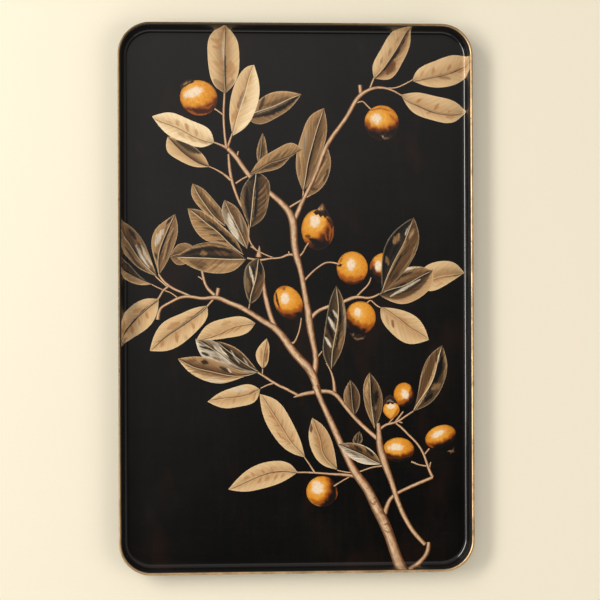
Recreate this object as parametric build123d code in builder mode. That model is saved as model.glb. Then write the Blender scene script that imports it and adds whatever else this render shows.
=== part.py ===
"""Zhostovo-style painted serving tray, as an assembly of its separate layers.

A pressed steel pan has its edge curled outward over a steel wire.  Black lacquer covers the
face and the back, bronze-powder gilding covers the curled rim, and a still life of a fruiting
branch is painted over the face lacquer, from the floor up the cove and the wall to the rim.

Frame: origin at the centre of the resting plane, +X across the width, +Y along the length,
+Z up.  All sizes are in mm.
"""
from build123d import *
import os
from math import acos, cos, degrees, radians, sin

os.makedirs("parts", exist_ok=True)

# ---------------------------------------------------------------- driving dimensions
TRAY_WIDTH = 310.0  # overall, along X, over the gilded rim
TRAY_LENGTH = 480.0  # overall, along Y
TRAY_HEIGHT = 15.0  # resting plane to the top of the rim
CORNER_RADIUS = 28.0  # plan radius of the rim's outermost line
SHEET = 0.5  # steel sheet thickness
COVE_RADIUS = 4.0  # inside radius between floor and wall
WALL_LEAN = 7.0  # degrees that the wall leans outward from upright
WIRE_RADIUS = 0.6  # stiffening wire inside the curled edge
WIRE_CLEARANCE = 0.02  # radial room between wire and curl
WIRE_BUTT_GAP = 0.5  # gap where the wire's two ends meet
CURL_END_GAP = 3.0  # degrees left open between the curl's end and the wall
FACE_FILM = 0.3  # primer and black lacquer on the face
BACK_FILM = 0.2  # primer and black lacquer on the back
GILDING = 0.1  # gilding on the rim
GILDING_END = -40.0  # degrees below level where the gilding stops on the rim's outside
PAINT_FILM = 0.15  # oil-paint layer of the still life
DRAWN_WIDTH = 310.0  # the still life is drawn for a tray of this width
DRAWN_LENGTH = 480.0  # and this length, and is stretched to fit another

# ---------------------------------------------------------------- derived section
half_width = TRAY_WIDTH / 2
half_length = TRAY_LENGTH / 2
curl_bore = WIRE_RADIUS + WIRE_CLEARANCE
curl_radius = curl_bore + SHEET
floor_top = BACK_FILM + SHEET
lean_sin = sin(radians(WALL_LEAN))
lean_cos = cos(radians(WALL_LEAN))
curl_centre = (half_width - GILDING - curl_radius, TRAY_HEIGHT - GILDING - curl_radius)
curl_start = 180 - WALL_LEAN
curl_end = curl_start + degrees(acos(curl_bore / curl_radius)) + CURL_END_GAP
wall_top = (curl_centre[0] - curl_radius * lean_cos, curl_centre[1] + curl_radius * lean_sin)
wall_foot_z = floor_top + COVE_RADIUS * (1 - lean_sin)
wall_run = (wall_top[1] - wall_foot_z) / lean_cos
wall_foot_x = wall_top[0] - wall_run * lean_sin
cove_centre = (wall_foot_x - COVE_RADIUS * lean_cos, floor_top + COVE_RADIUS)
floor_inset = half_width - cove_centre[0]
floor_corner_radius = CORNER_RADIUS - floor_inset


def on_wall(along_wall_top, depth):
    """A point beside the wall's top or foot, `depth` mm towards the inside of the tray."""
    return (along_wall_top[0] - depth * lean_cos, along_wall_top[1] + depth * lean_sin)


def film_section(lower, upper, mode=Mode.ADD):
    """Face of a layer that lies between two depths over the sheet's face surface."""
    foot = (wall_foot_x, wall_foot_z)
    with BuildLine() as outline:
        for depth in (lower, upper):
            CenterArc(cove_centre, COVE_RADIUS - depth, -90, 90 - WALL_LEAN)
            Line(on_wall(foot, depth), on_wall(wall_top, depth))
        Line(on_wall(wall_top, lower), on_wall(wall_top, upper))
        Line((cove_centre[0], floor_top + lower), (cove_centre[0], floor_top + upper))
    make_face(outline.edges(), mode=mode)


def rim_band(inner_radius, outer_radius, first_angle, last_angle, mode=Mode.ADD):
    """Face of a band around the curled rim between two angles, clockwise from the first."""
    with BuildLine() as outline:
        for radius in (inner_radius, outer_radius):
            CenterArc(curl_centre, radius, first_angle, last_angle - first_angle)
        for angle in (first_angle, last_angle):
            reach = Vector(cos(radians(angle)), sin(radians(angle)))
            Line(Vector(*curl_centre) + reach * inner_radius, Vector(*curl_centre) + reach * outer_radius)
    make_face(outline.edges(), mode=mode)


def floor_plate(bottom, thickness):
    """Flat middle of a layer, inside the line where the cove begins."""
    with BuildSketch(Plane.XY.offset(bottom)) as plate:
        RectangleRounded(
            TRAY_WIDTH - 2 * floor_inset, TRAY_LENGTH - 2 * floor_inset, floor_corner_radius
        )
    extrude(plate.sketch, amount=thickness)


def rim_route(end_gap=0.0):
    """Rounded rectangle that every section is swept along, from the middle of the +X side."""
    corner_x = half_width - CORNER_RADIUS
    corner_y = half_length - CORNER_RADIUS
    Line((half_width, end_gap / 2), (half_width, corner_y))
    CenterArc((corner_x, corner_y), CORNER_RADIUS, 0, 90)
    Line((corner_x, half_length), (-corner_x, half_length))
    CenterArc((-corner_x, corner_y), CORNER_RADIUS, 90, 90)
    Line((-half_width, corner_y), (-half_width, -corner_y))
    CenterArc((-corner_x, -corner_y), CORNER_RADIUS, 180, 90)
    Line((-corner_x, -half_length), (corner_x, -half_length))
    CenterArc((corner_x, -corner_y), CORNER_RADIUS, 270, 90)
    Line((half_width, -corner_y), (half_width, -end_gap / 2))


with BuildLine() as rim_path:
    rim_route()

with BuildLine() as wire_path:
    rim_route(WIRE_BUTT_GAP)

# ---------------------------------------------------------------- pressed pan
with BuildPart() as tray_pan:
    with BuildSketch(Plane.XZ):
        film_section(-SHEET, 0)
        rim_band(curl_bore, curl_radius, curl_start, curl_end - 360)
    sweep(path=rim_path.wire())
    floor_plate(BACK_FILM, SHEET)

# ---------------------------------------------------------------- stiffening wire
with BuildPart() as edge_wire:
    with BuildSketch(Plane.XZ.offset(-WIRE_BUTT_GAP / 2)):
        with Locations(curl_centre):
            Circle(WIRE_RADIUS)
    sweep(path=wire_path.wire())

# ---------------------------------------------------------------- lacquer and gilding
with BuildPart() as face_lacquer:
    with BuildSketch(Plane.XZ):
        film_section(0, FACE_FILM)
    sweep(path=rim_path.wire())
    floor_plate(floor_top, FACE_FILM)

with BuildPart() as base_lacquer:
    floor_plate(0, BACK_FILM)

with BuildPart() as wall_lacquer:
    with BuildSketch(Plane.XZ):
        film_section(-SHEET - BACK_FILM, -SHEET)
        rim_band(curl_radius, curl_radius + BACK_FILM, GILDING_END, curl_end - 360)
        film_section(-SHEET, 0, mode=Mode.SUBTRACT)
        rim_band(curl_bore, curl_radius, curl_start, curl_end - 360, mode=Mode.SUBTRACT)
        with Locations(curl_centre):
            Circle(curl_bore, mode=Mode.SUBTRACT)
    sweep(path=rim_path.wire())

with BuildPart() as rim_gilding:
    with BuildSketch(Plane.XZ):
        rim_band(curl_radius, curl_radius + GILDING, curl_start, GILDING_END)
    sweep(path=rim_path.wire())

# ---------------------------------------------------------------- still life
# Every outline is drawn in plan, in mm from the tray's centre.  Front shapes come first, and
# each shape is trimmed by those in front of it, so the paint layers meet edge to edge.
# A leaf is its stalk end, its two edges and its tip.
FRONT_LEAVES = (
    ("bronze_leaves", (-41, 108.5), [(-31, 122.5), (-17, 131.5), (-2, 136.7)],
     [(-25, 111.5), (-13, 115.5), (-5, 123.5)], (6, 131)),
    ("shaded_leaves", (-40.5, 61.5), [(-45.5, 73), (-49, 86), (-46, 99)],
     [(-29, 70), (-23.8, 86), (-24.3, 104)], (-35, 112)),
    ("bronze_leaves", (6.5, 94), [(1, 110), (0.5, 124), (6, 146), (14, 161.5)],
     [(14, 104), (23, 127), (28, 148)], (25.5, 168)),
    ("bronze_leaves", (-44, 34), [(-55, 24), (-70, 21.5), (-90, 26)],
     [(-55, 43), (-74, 49), (-92, 45.5)], (-106, 36)),
    ("bronze_leaves", (-46, 37.5), [(-63, 46), (-80, 51), (-91, 63.5)],
     [(-54, 53), (-68, 66), (-82, 76.5)], (-95.5, 79)),
    ("bronze_leaves", (-43, 43), [(-52, 51), (-61, 64), (-65.5, 77)],
     [(-41.5, 56), (-46, 70), (-54, 81.5)], (-63, 86.5)),
    ("bronze_leaves", (-122.5, 19), [(-138, 26), (-152, 41), (-159, 54)],
     [(-128, 35), (-135, 51), (-146, 63.5)], (-162, 72)),
    ("bronze_leaves", (-121, 20), [(-124.5, 33), (-127.3, 46), (-124, 60), (-114, 69)],
     [(-115, 29), (-108, 44), (-104, 60)], (-106.5, 74)),
    ("pale_leaves", (-55.5, 143), [(-58.3, 160), (-57, 177), (-50, 196), (-42, 204.5)],
     [(-44, 151), (-36, 164), (-31.7, 186)], (-36.5, 206)),
    ("pale_leaves", (-62, 180.5), [(-71, 187), (-76, 200), (-77.5, 217), (-75, 232)],
     [(-54, 189), (-49.8, 202), (-49.5, 214), (-52, 230)], (-62, 243)),
    ("pale_leaves", (-72, 137), [(-82, 133), (-98, 137), (-112, 143.5)],
     [(-75, 147), (-92, 156.5), (-111, 163.5)], (-126.5, 160)),
    ("pale_leaves", (70, 194.5), [(68.7, 204), (76, 220), (87, 236)],
     [(84, 194), (95, 208), (102, 224)], (103, 244)),
    ("pale_leaves", (104, 192.5), [(108, 201), (124, 210), (142, 215.5)],
     [(118, 187.5), (133, 187), (149, 193)], (160, 211)),
    ("pale_leaves", (94, 180), [(108, 182), (125, 178.8), (143, 173.5)],
     [(104, 165), (122, 157.5), (141, 155.8)], (152, 165)),
    ("shaded_leaves", (-41, -6), [(-44.5, 4), (-46.3, 17), (-43, 29)],
     [(-34, -1), (-29, 9), (-28, 24)], (-33, 36)),
    ("pale_leaves", (-121, -1), [(-122, -11), (-129, -24.5), (-142, -34)],
     [(-131, -0.5), (-143, -5.5), (-152.5, -16)], (-160, -46)),
    ("pale_leaves", (-78.5, -7), [(-78, -15), (-86, -27.5), (-98, -38.5), (-112, -46)],
     [(-88, -8.5), (-103, -14.5), (-117, -21.5), (-125.5, -34)], (-129, -46.5)),
    ("pale_leaves", (-36, -22.5), [(-42, -30), (-58, -35), (-74, -37)],
     [(-45, -17.3), (-62, -18), (-79, -24.5)], (-88, -37)),
    ("shaded_leaves", (-33, -65.5), [(-48, -63), (-60, -54), (-67, -45)],
     [(-40, -57), (-50, -46.5), (-60, -41)], (-71, -38)),
    ("shaded_leaves", (-36, -67), [(-48, -70.5), (-66, -75.5), (-83, -72), (-97, -63)],
     [(-50, -64), (-66, -57.5), (-85, -51.8)], (-104.5, -53.5)),
    ("shaded_leaves", (-34, -66), [(-52, -68), (-72, -60), (-85, -49)],
     [(-52, -56), (-66, -43), (-78, -36)], (-89, -36)),
    ("pale_leaves", (-29.5, -63), [(-34, -57), (-35.7, -50), (-32, -42)],
     [(-26, -59), (-24, -50), (-24, -42)], (-26, -36)),
    ("pale_leaves", (-32, -81), [(-36, -91), (-50, -96), (-64, -97.3)],
     [(-40, -76.8), (-54, -78.7), (-68, -84)], (-78.5, -91.5)),
    ("pale_leaves", (7.5, -141.5), [(-6, -136.5), (-20, -122.5), (-30, -102)],
     [(4, -128), (-5, -108), (-18, -90.5)], (-32.5, -85)),
    ("pale_leaves", (36, -152.5), [(23, -148), (13, -134), (11, -118)],
     [(34.3, -140), (30, -124), (21.5, -111.5)], (14, -106.5)),
    ("pale_leaves", (1, -154.5), [(-12, -162.5), (-30, -168.5), (-48, -171)],
     [(-6, -147), (-22, -144.5), (-44, -152.5)], (-60.5, -169)),
    ("shaded_leaves", (76, 3), [(76, 24), (79, 45), (89, 60)],
     [(90, 16), (104, 34), (109.7, 54)], (105, 71.3)),
    ("shaded_leaves", (73, 2), [(85, 16), (98, 26), (112, 27)],
     [(90, -2.5), (105, 3), (117, 14.5)], (121.5, 23.5)),
    ("pale_leaves", (75, -8.5), [(90, -10.5), (109, -19.5), (115.5, -30)],
     [(75.5, -18), (84, -31), (100, -41.3)], (118, -38)),
    ("shaded_leaves", (31, -64), [(24.5, -53), (24, -38), (27, -17), (30.5, -1)],
     [(40, -48), (44.2, -29), (43.5, -9), (40, 3)], (35.5, 11)),
    ("shaded_leaves", (69.5, -117), [(62, -100), (59.3, -84), (61.5, -72)],
     [(74.5, -105), (76.7, -90), (71, -74)], (65, -66.5)),
    ("shaded_leaves", (103.5, -101.5), [(107.5, -88), (110.5, -71), (119, -51.5)],
     [(118, -95), (131, -77), (134.3, -59)], (130, -42.5)),
    ("shaded_leaves", (75, -148), [(62, -148), (47, -141.5)],
     [(71, -140), (57, -130.3), (45, -128.7)], (36.5, -130)),
)
BACK_LEAVES = (
    ("bronze_leaves", (-62, 63), [(-75, 71), (-87, 82), (-92.3, 93)],
     [(-64, 75), (-72, 86), (-82, 96.5)], (-91, 101)),
    ("pale_leaves", (-76, 115.5), [(-88, 115.5), (-104, 122), (-113.5, 130)],
     [(-80, 124), (-90, 134), (-103, 142)], (-113, 142)),
    ("bronze_leaves", (-44, 159), [(-33, 174), (-22, 181), (-8, 182.7)],
     [(-34, 153.5), (-18, 158.5), (-4, 168)], (5.5, 180)),
    ("bronze_leaves", (-32.5, 117), [(-34.5, 127), (-32, 139)],
     [(-26, 120), (-25.3, 131), (-27, 141)], (-29.2, 146)),
    ("bronze_leaves", (8, 88), [(10, 98), (16, 114), (24, 130)],
     [(21, 95), (30, 110), (31, 124)], (27.5, 135)),
    ("bronze_leaves", (-127, 12), [(-137, 11.5), (-150, 16.5)],
     [(-138, 20), (-148, 31)], (-162, 40)),
    ("bronze_leaves", (-88, 41), [(-96, 31), (-104, 29)],
     [(-93, 47), (-103, 47.5)], (-111, 36)),
    ("pale_leaves", (76, 0.5), [(90, 10), (106, 18)],
     [(94, -6), (110, -0.5), (121, 11)], (122, 25)),
    ("pale_leaves", (106, 12), [(115, 27), (129, 32), (141, 30.5)],
     [(119, 5.5), (133, 10.5)], (150, 21.5)),
    ("shaded_leaves", (51.5, -105), [(43.5, -95), (42, -85)],
     [(55.5, -97), (55.5, -84)], (48, -73)),
    ("shaded_leaves", (54, -131), [(50, -128), (52, -122)],
     [(58, -128), (57.5, -121)], (56, -118.5)),
)
# A brush stroke of the branch is a list of (x, y, width) along its middle.
BOUGHS = (
    [(93, -242, 10.5), (88, -229, 9.5), (83, -214, 9), (77, -199, 9.5), (70, -185, 9),
     (62, -169, 8), (53, -156.5, 7.5), (45, -142, 6), (38, -127, 6), (30, -109, 5.5), (20.5, -88, 5)],
    [(20.5, -86, 5), (17, -76, 6.5), (13, -66, 7.5), (3, -54, 7), (-6, -43, 7),
     (-13, -33, 6.3), (-20, -26, 6)],
    [(15, -69, 6), (17, -60, 5.3), (16.8, -50, 5), (14.5, -38, 5.5), (12, -24, 6.5),
     (10.5, -12, 6), (8, 2, 5), (6, 14, 4.8), (3.5, 26, 5), (1, 35, 6), (-1, 45, 6.3),
     (-1.8, 56, 6.5), (-2.5, 66, 7), (-5, 74, 6.5), (-11, 82, 5.5), (-26, 95, 4.6),
     (-41, 108, 4.3), (-53, 124.5, 4.2), (-60, 132, 4.2)],
    [(-1.5, 68, 4), (2, 76, 4.5), (5.5, 84, 4), (12, 97, 3.5), (20, 115, 3.5), (27, 133, 4),
     (33, 143, 4), (46, 161, 3.8), (58, 179.5, 3.8), (65, 184, 3), (73, 186.2, 2.6),
     (88, 183, 1.6), (98, 177.3, 1.2)],
    [(-20, -26, 5.5), (-30, -20, 5), (-40, -13.5, 4.7), (-50, -8, 4.6), (-60, -4, 4.3),
     (-70, 0, 4), (-82, -0.5, 3), (-93, 1, 2.9), (-103, 0, 2.6), (-112, -4.5, 2.4),
     (-119, -9, 2.6), (-122, -19, 4)],
    [(-18, -27, 5), (-22, -18, 4.4), (-25, -8, 4.4), (-27.3, 2, 4), (-28.5, 12, 3), (-29, 24, 1.2)],
    [(72.5, -111.5, 3.2), (73, -118, 4.4), (73.5, -128, 6), (76, -140, 6.8), (79.5, -151, 6),
     (84, -163, 5), (88, -176, 4.6), (92.5, -188, 4.4), (98.5, -200, 4.2), (106, -211, 4),
     (114, -219.5, 3.6)],
    [(117, -217.5, 3.4), (116.5, -224, 4.2), (112.5, -231.5, 4), (106, -236.8, 3.8), (98, -241, 3.4)],
    [(-2.5, -88.2, 0.8), (3, -86.3, 3), (10, -84.7, 3.6), (18, -83.5, 4), (27, -83.2, 3.8),
     (34, -85.5, 3.8), (40, -92, 3.6), (47, -101, 3.6), (55, -110, 3.6), (72, -125.5, 4)],
    [(78, -192, 5), (80.5, -184, 4), (84, -178, 3.5), (91, -173, 3), (104, -167, 3.2), (121, -160, 2.8)],
    [(12, -20, 4), (17, -14, 3.6), (24, -9.8, 3.2), (43, -3.4, 3.2), (51, -0.3, 3.2),
     (56, 0.2, 2.6), (64, -0.6, 2.2), (74, 3, 1.8)],
)
TWIGS = (
    [(58, 181, 3.4), (57.5, 188.5, 3.8)],
    [(-61, 132, 2.6), (-62.7, 145, 2.2), (-63.3, 168, 2.2), (-62.5, 181, 1.8)],
    [(-60, 133, 2.4), (-58, 139, 2.2), (-55.6, 146, 1.2)],
    [(-61, 132.5, 3.4), (-66, 134.8, 2.2), (-72, 137.2, 1.4)],
    [(-57.5, 104, 2.8), (-62, 108, 2.2), (-69, 112.5, 1.5), (-76.5, 115.8, 1.2)],
    [(-59.3, 127, 1.8), (-58.5, 116, 2.8), (-56.5, 104, 3), (-53.5, 94, 2.6), (-49.5, 84, 2.4),
     (-45, 75, 1.8), (-41.5, 63, 1.4), (-41.3, 52, 1.4), (-35, 42, 1.5)],
    [(-53, 101, 2), (-47, 105, 1.6), (-40, 108.5, 1.6)],
    [(-63, 161, 1.8), (-67, 164, 1.4), (-71.5, 167, 1.6)],
    [(55, 172.8, 1.4), (60, 173.7, 1.4), (63.5, 170.5, 1.4), (67, 167.3, 1.6)],
    [(66, 184.5, 2), (68, 190, 1.8), (70.5, 196, 1.4)],
    [(78, 186.3, 1.4), (89, 186.2, 1.3), (97, 189.3, 1.4), (104.5, 193.3, 1.4)],
    [(6.4, 86, 2), (6.6, 90, 1.8), (6.8, 96, 1.6)],
    [(-7, 79, 2), (0, 83.3, 2), (7, 87.3, 1.8), (13, 90.5, 1.2)],
    [(2, 35.5, 2), (6, 39.5, 1.6), (9, 45, 1.6), (11.3, 48.3, 1.8)],
    [(7.5, 15, 2.2), (13, 21, 1.9), (20, 27, 1.7), (26, 30.5, 1.6), (32, 31, 1.6), (38.5, 29.3, 1.6)],
    [(0, 37, 2.6), (-6, 38, 2.4), (-13, 35.5, 1.8), (-21, 34.7, 1.8), (-31, 33.4, 2), (-43, 35, 1.8)],
    [(-20, 35.3, 1.2), (-27, 38, 1.2), (-34, 41.5, 1.4), (-40, 45.5, 1.2)],
    [(54, 1, 2), (60, 7, 1.8), (64.5, 12, 1.6), (66.7, 17.5, 1.2)],
    [(-7, -40.5, 3), (-2.5, -40, 2.2), (0.5, -35.5, 1.6), (3.3, -27, 1.5), (4.6, -18, 1)],
    [(63, -5, 1.4), (66, -2.8, 1.3), (70, -5.8, 1.5), (75.5, -9.3, 1.2)],
    [(-70, 1, 3.4), (-68.6, 8.5, 3.6)],
    [(-72, 2.5, 3.2), (-78, 8.5, 2.8), (-81, 15, 2.6), (-83, 24.5, 2.4)],
    [(-94, 2, 2), (-103, 5.7, 2.2), (-112, 10.8, 2.4), (-117, 15.3, 2.2), (-121, 21, 1.6)],
    [(-113, 9.8, 1.8), (-118.5, 14.3, 1.6), (-124, 19.3, 1.3)],
    [(-112.5, 10, 2.2), (-117, 6.5, 2), (-120, 1.5, 1.8), (-123.5, -3, 1.4)],
    [(-105, 0.5, 1.4), (-110, 4.3, 1.2), (-116, 6.6, 1.2), (-127.5, 12.3, 1)],
    [(-67.5, 5.5, 1), (-72, 0, 2), (-79, -8, 1.4)],
    [(-41, -5.5, 1.2), (-42, -11, 1.4)],
    [(1, -86, 2.6), (-6, -82.3, 2.6), (-20, -75, 2.4), (-27, -70.3, 2.2), (-34, -66, 1.8)],
    [(-20, -75.6, 1.8), (-26, -77.5, 1.5), (-31.5, -80, 1.2)],
    [(-30, -68, 1.4), (-29.7, -62, 1)],
    [(16, -155, 2), (12, -148.5, 1.5), (7, -141.3, 1.2)],
    [(53, -159, 3.2), (45, -157.5, 3), (30, -156.3, 2.2), (15, -155, 1.8), (0, -154.5, 1.5)],
    [(76, -149.5, 1.8), (66, -151, 1.4), (56, -154.3, 1.4), (46, -155, 1.3), (36, -153, 1.2)],
    [(48, -158.3, 1.4), (40, -162.7, 1.3), (33, -167, 1.6)],
    [(34, -85, 3.6), (33.2, -75, 2.8), (31, -66.5, 1.6), (26.5, -58, 1)],
    [(73, -118, 2.8), (80, -113, 2.3), (88, -111, 2), (96, -106.3, 1.8), (104, -101.2, 1.6)],
    [(88, -110.5, 2.2), (91.5, -106, 2), (95, -101.5, 1.4)],
    [(88, -111.5, 1.6), (92.5, -115, 2), (99, -121.5, 2), (106, -128.5, 2), (111.5, -136.5, 2),
     (115, -145, 2.2), (117.7, -153, 2.6), (121, -160, 2.8)],
    [(117.5, -150, 1.8), (109.5, -149, 1.4), (102, -145.8, 2)],
    [(113.5, -140, 1.6), (118, -134.5, 1.6)],
)
# A fruit is its centre, its two radii and the turn of its long axis in degrees.
FRUITS = (
    (84.2, -101.2, 7.8, 7.4, 0),
    (95.5, -86.5, 9, 10.7, 0),
    (-85.3, 176.5, 16.7, 15.5, -20),
    (76.7, 155, 15.3, 15.5, 0),
    (19.5, 60, 14.5, 18, 0),
    (50, 26, 13.8, 14.7, 0),
    (79, 26, 13.5, 13.5, 0),
    (-6.8, -4.5, 15.8, 12, -61),
    (57, -18, 13.7, 14.5, 0),
    (90.5, -135.5, 14, 11, 0),
    (128.1, -124, 14.2, 9.8, 22),
    (22.5, -171.5, 14, 13.5, 0),
)
# A crown of dry sepals is the middle of its ring, its reach and the way it points, in degrees.
CROWNS = (
    (-95.5, 188, 5.5, 137),
    (80, 142.5, 5.5, -80),
    (22.5, 78.5, 5.5, 75),
    (54, -35, 6, -105),
    (84, -94, 4.5, 100),
    (137, -136, 4, -65),
)
CROWN_SEPALS = 5
CROWN_SPREAD = 150.0  # degrees that a crown's fan of sepals opens to
CROWN_NOTCH = 0.55  # how far out the notches between sepals lie, as a share of the reach


def placed(x, y):
    """A drawn point, stretched from the drawn tray size to this one."""
    return (x * TRAY_WIDTH / DRAWN_WIDTH, y * TRAY_LENGTH / DRAWN_LENGTH)


def leaf_sketch(base, first_edge, second_edge, tip):
    """Leaf outline: two smooth edges between the stalk end and the tip."""
    with BuildSketch() as leaf:
        with BuildLine() as outline:
            for edge in (first_edge, second_edge):
                Spline(*[placed(*point) for point in (base, *edge, tip)])
        make_face(outline.edges())
    return leaf.sketch


def stroke_sketch(stations):
    """Tapering stroke of the branch through its (x, y, width) stations."""
    middle = [Vector(*placed(x, y)) for x, y, _ in stations]
    sides = ([], [])
    for index, (_, _, width) in enumerate(stations):
        ahead = middle[min(index + 1, len(middle) - 1)]
        behind = middle[max(index - 1, 0)]
        across = (ahead - behind).normalized().rotate(Axis.Z, 90) * (width / 2)
        sides[0].append(middle[index] + across)
        sides[1].append(middle[index] - across)
    with BuildSketch() as stroke:
        with BuildLine() as outline:
            for side in sides:
                Spline(*side)
            Line(sides[0][0], sides[1][0])
            Line(sides[0][-1], sides[1][-1])
        make_face(outline.edges())
    return stroke.sketch


def fruit_sketch(x, y, long_radius, short_radius, turn):
    """Fruit outline."""
    with BuildSketch() as fruit:
        with Locations(Location((*placed(x, y), 0), (0, 0, turn))):
            Ellipse(long_radius, short_radius)
    return fruit.sketch


def crown_sketch(x, y, reach, heading):
    """Fan of pointed sepals around the eye of a fruit."""
    middle = Vector(*placed(x, y))
    steps = 2 * CROWN_SEPALS - 2
    rays = []
    for step in range(steps + 1):
        angle = radians(heading + CROWN_SPREAD * (step / steps - 0.5))
        length = reach if step % 2 == 0 else reach * CROWN_NOTCH
        rays.append(middle + Vector(cos(angle), sin(angle)) * length)
    back = middle - Vector(cos(radians(heading)), sin(radians(heading))) * (reach * CROWN_NOTCH)
    with BuildSketch() as crown:
        with BuildLine() as outline:
            Polyline(back, *rays, close=True)
        make_face(outline.edges())
    return crown.sketch


drawing = [("fruit_crowns", crown_sketch(*crown)) for crown in CROWNS]
drawing += [(node, leaf_sketch(*leaf)) for node, *leaf in FRONT_LEAVES]
drawing += [("boughs", stroke_sketch(stations)) for stations in BOUGHS]
drawing += [("twigs", stroke_sketch(stations)) for stations in TWIGS]
drawing += [("fruits", fruit_sketch(*fruit)) for fruit in FRUITS]
drawing += [(node, leaf_sketch(*leaf)) for node, *leaf in BACK_LEAVES]


def boxes_meet(first, second):
    """Whether the plan boxes of two shapes overlap."""
    one = first.bounding_box()
    two = second.bounding_box()
    apart_x = one.max.X < two.min.X or two.max.X < one.min.X
    apart_y = one.max.Y < two.min.Y or two.max.Y < one.min.Y
    return not (apart_x or apart_y)


with BuildPart() as paint_skin:
    with BuildSketch(Plane.XZ):
        film_section(FACE_FILM, FACE_FILM + PAINT_FILM)
    sweep(path=rim_path.wire())
    floor_plate(floor_top + FACE_FILM, PAINT_FILM)

visible = {}
for index, (node, shape) in enumerate(drawing):
    with BuildSketch() as trimmed:
        add(shape)
        for _, front in drawing[:index]:
            if boxes_meet(front, shape):
                add(front, mode=Mode.SUBTRACT)
    visible.setdefault(node, []).append(trimmed.sketch)

painted = []
for node, shapes in visible.items():
    with BuildPart() as layer:
        for shape in shapes:
            extrude(shape, amount=TRAY_HEIGHT)
        add(paint_skin.part, mode=Mode.INTERSECT)
    painted.append((node, layer))

# ---------------------------------------------------------------- files
layers = [
    ("tray_pan", tray_pan),
    ("edge_wire", edge_wire),
    ("face_lacquer", face_lacquer),
    ("base_lacquer", base_lacquer),
    ("wall_lacquer", wall_lacquer),
    ("rim_gilding", rim_gilding),
]
for name, layer in layers + painted:
    layer.part.label = name
    export_step(layer.part, f"parts/{name}.step")
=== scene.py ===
"""Zhostovo-style painted tray: the visual model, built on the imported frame.

A pressed steel pan carries black lacquer on its face and back, bronze-powder gilding on its
curled rim, and a still life of a fruiting branch painted over the face and up its walls.  Every
leaf, fruit, crown and length of branch is its own thin layer of paint, laid over the lacquer in
the order in which a painter lays them.  Object sizes are in metres, and drawings are in mm.
"""
import logging
import math
from dataclasses import dataclass, field
from enum import Enum
from typing import Callable, Dict, List, Sequence, Tuple, Union

import bmesh
import bpy
import numpy as np
from mathutils import Euler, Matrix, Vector, noise


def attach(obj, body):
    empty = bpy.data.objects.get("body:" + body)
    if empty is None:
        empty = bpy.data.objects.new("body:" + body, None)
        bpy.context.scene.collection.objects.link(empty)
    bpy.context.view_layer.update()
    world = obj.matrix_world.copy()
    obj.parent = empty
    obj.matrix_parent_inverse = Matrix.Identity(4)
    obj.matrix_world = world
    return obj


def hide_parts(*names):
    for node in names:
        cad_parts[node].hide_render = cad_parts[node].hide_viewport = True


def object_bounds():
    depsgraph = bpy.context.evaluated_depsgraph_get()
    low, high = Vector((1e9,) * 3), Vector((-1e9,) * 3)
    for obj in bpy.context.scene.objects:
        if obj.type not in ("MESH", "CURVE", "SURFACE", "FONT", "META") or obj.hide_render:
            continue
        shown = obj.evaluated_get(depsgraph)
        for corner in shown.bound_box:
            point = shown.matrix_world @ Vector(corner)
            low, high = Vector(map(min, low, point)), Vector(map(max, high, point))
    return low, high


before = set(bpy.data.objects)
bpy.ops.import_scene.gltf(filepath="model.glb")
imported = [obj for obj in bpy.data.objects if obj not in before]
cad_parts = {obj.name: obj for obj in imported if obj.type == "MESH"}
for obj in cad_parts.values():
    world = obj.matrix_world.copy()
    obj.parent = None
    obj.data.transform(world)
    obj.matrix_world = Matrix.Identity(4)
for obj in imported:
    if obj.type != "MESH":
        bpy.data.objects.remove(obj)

CAD_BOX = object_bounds()
LOG = logging.getLogger("painted_tray")
MM = 0.001

Point = Tuple[float, float]
Colour = Tuple[float, float, float, float]


def pigment(red: int, green: int, blue: int) -> Colour:
    """Linear colour of an 8-bit display colour."""
    parts = []
    for level in (red, green, blue):
        share = level / 255
        parts.append(share / 12.92 if share <= 0.04045 else ((share + 0.055) / 1.055) ** 2.4)
    return (*parts, 1.0)


class Tone(Enum):
    """Mixed oil colours of the painter's palette."""

    CREAM = pigment(246, 219, 176)
    PALE = pigment(220, 185, 138)
    SAND = pigment(198, 158, 112)
    TAN = pigment(170, 132, 90)
    BRONZE = pigment(140, 106, 70)
    BROWN = pigment(104, 62, 30)
    UMBER = pigment(96, 68, 42)
    OLIVE = pigment(84, 64, 42)
    DARK = pigment(46, 36, 26)
    BLACK = pigment(16, 14, 12)
    GREY = pigment(150, 134, 114)
    CHALK = pigment(214, 200, 178)
    RUST = pigment(156, 78, 18)
    ORANGE = pigment(222, 144, 42)
    AMBER = pigment(238, 174, 74)
    GLOW = pigment(244, 220, 190)
    MAROON = pigment(62, 22, 6)
    OCHRE = pigment(172, 118, 64)
    STRAW = pigment(228, 198, 164)
    PEACH = pigment(202, 160, 122)


# ------------------------------------------------------------------ shader expressions
Value = Union["Signal", float]


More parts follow.
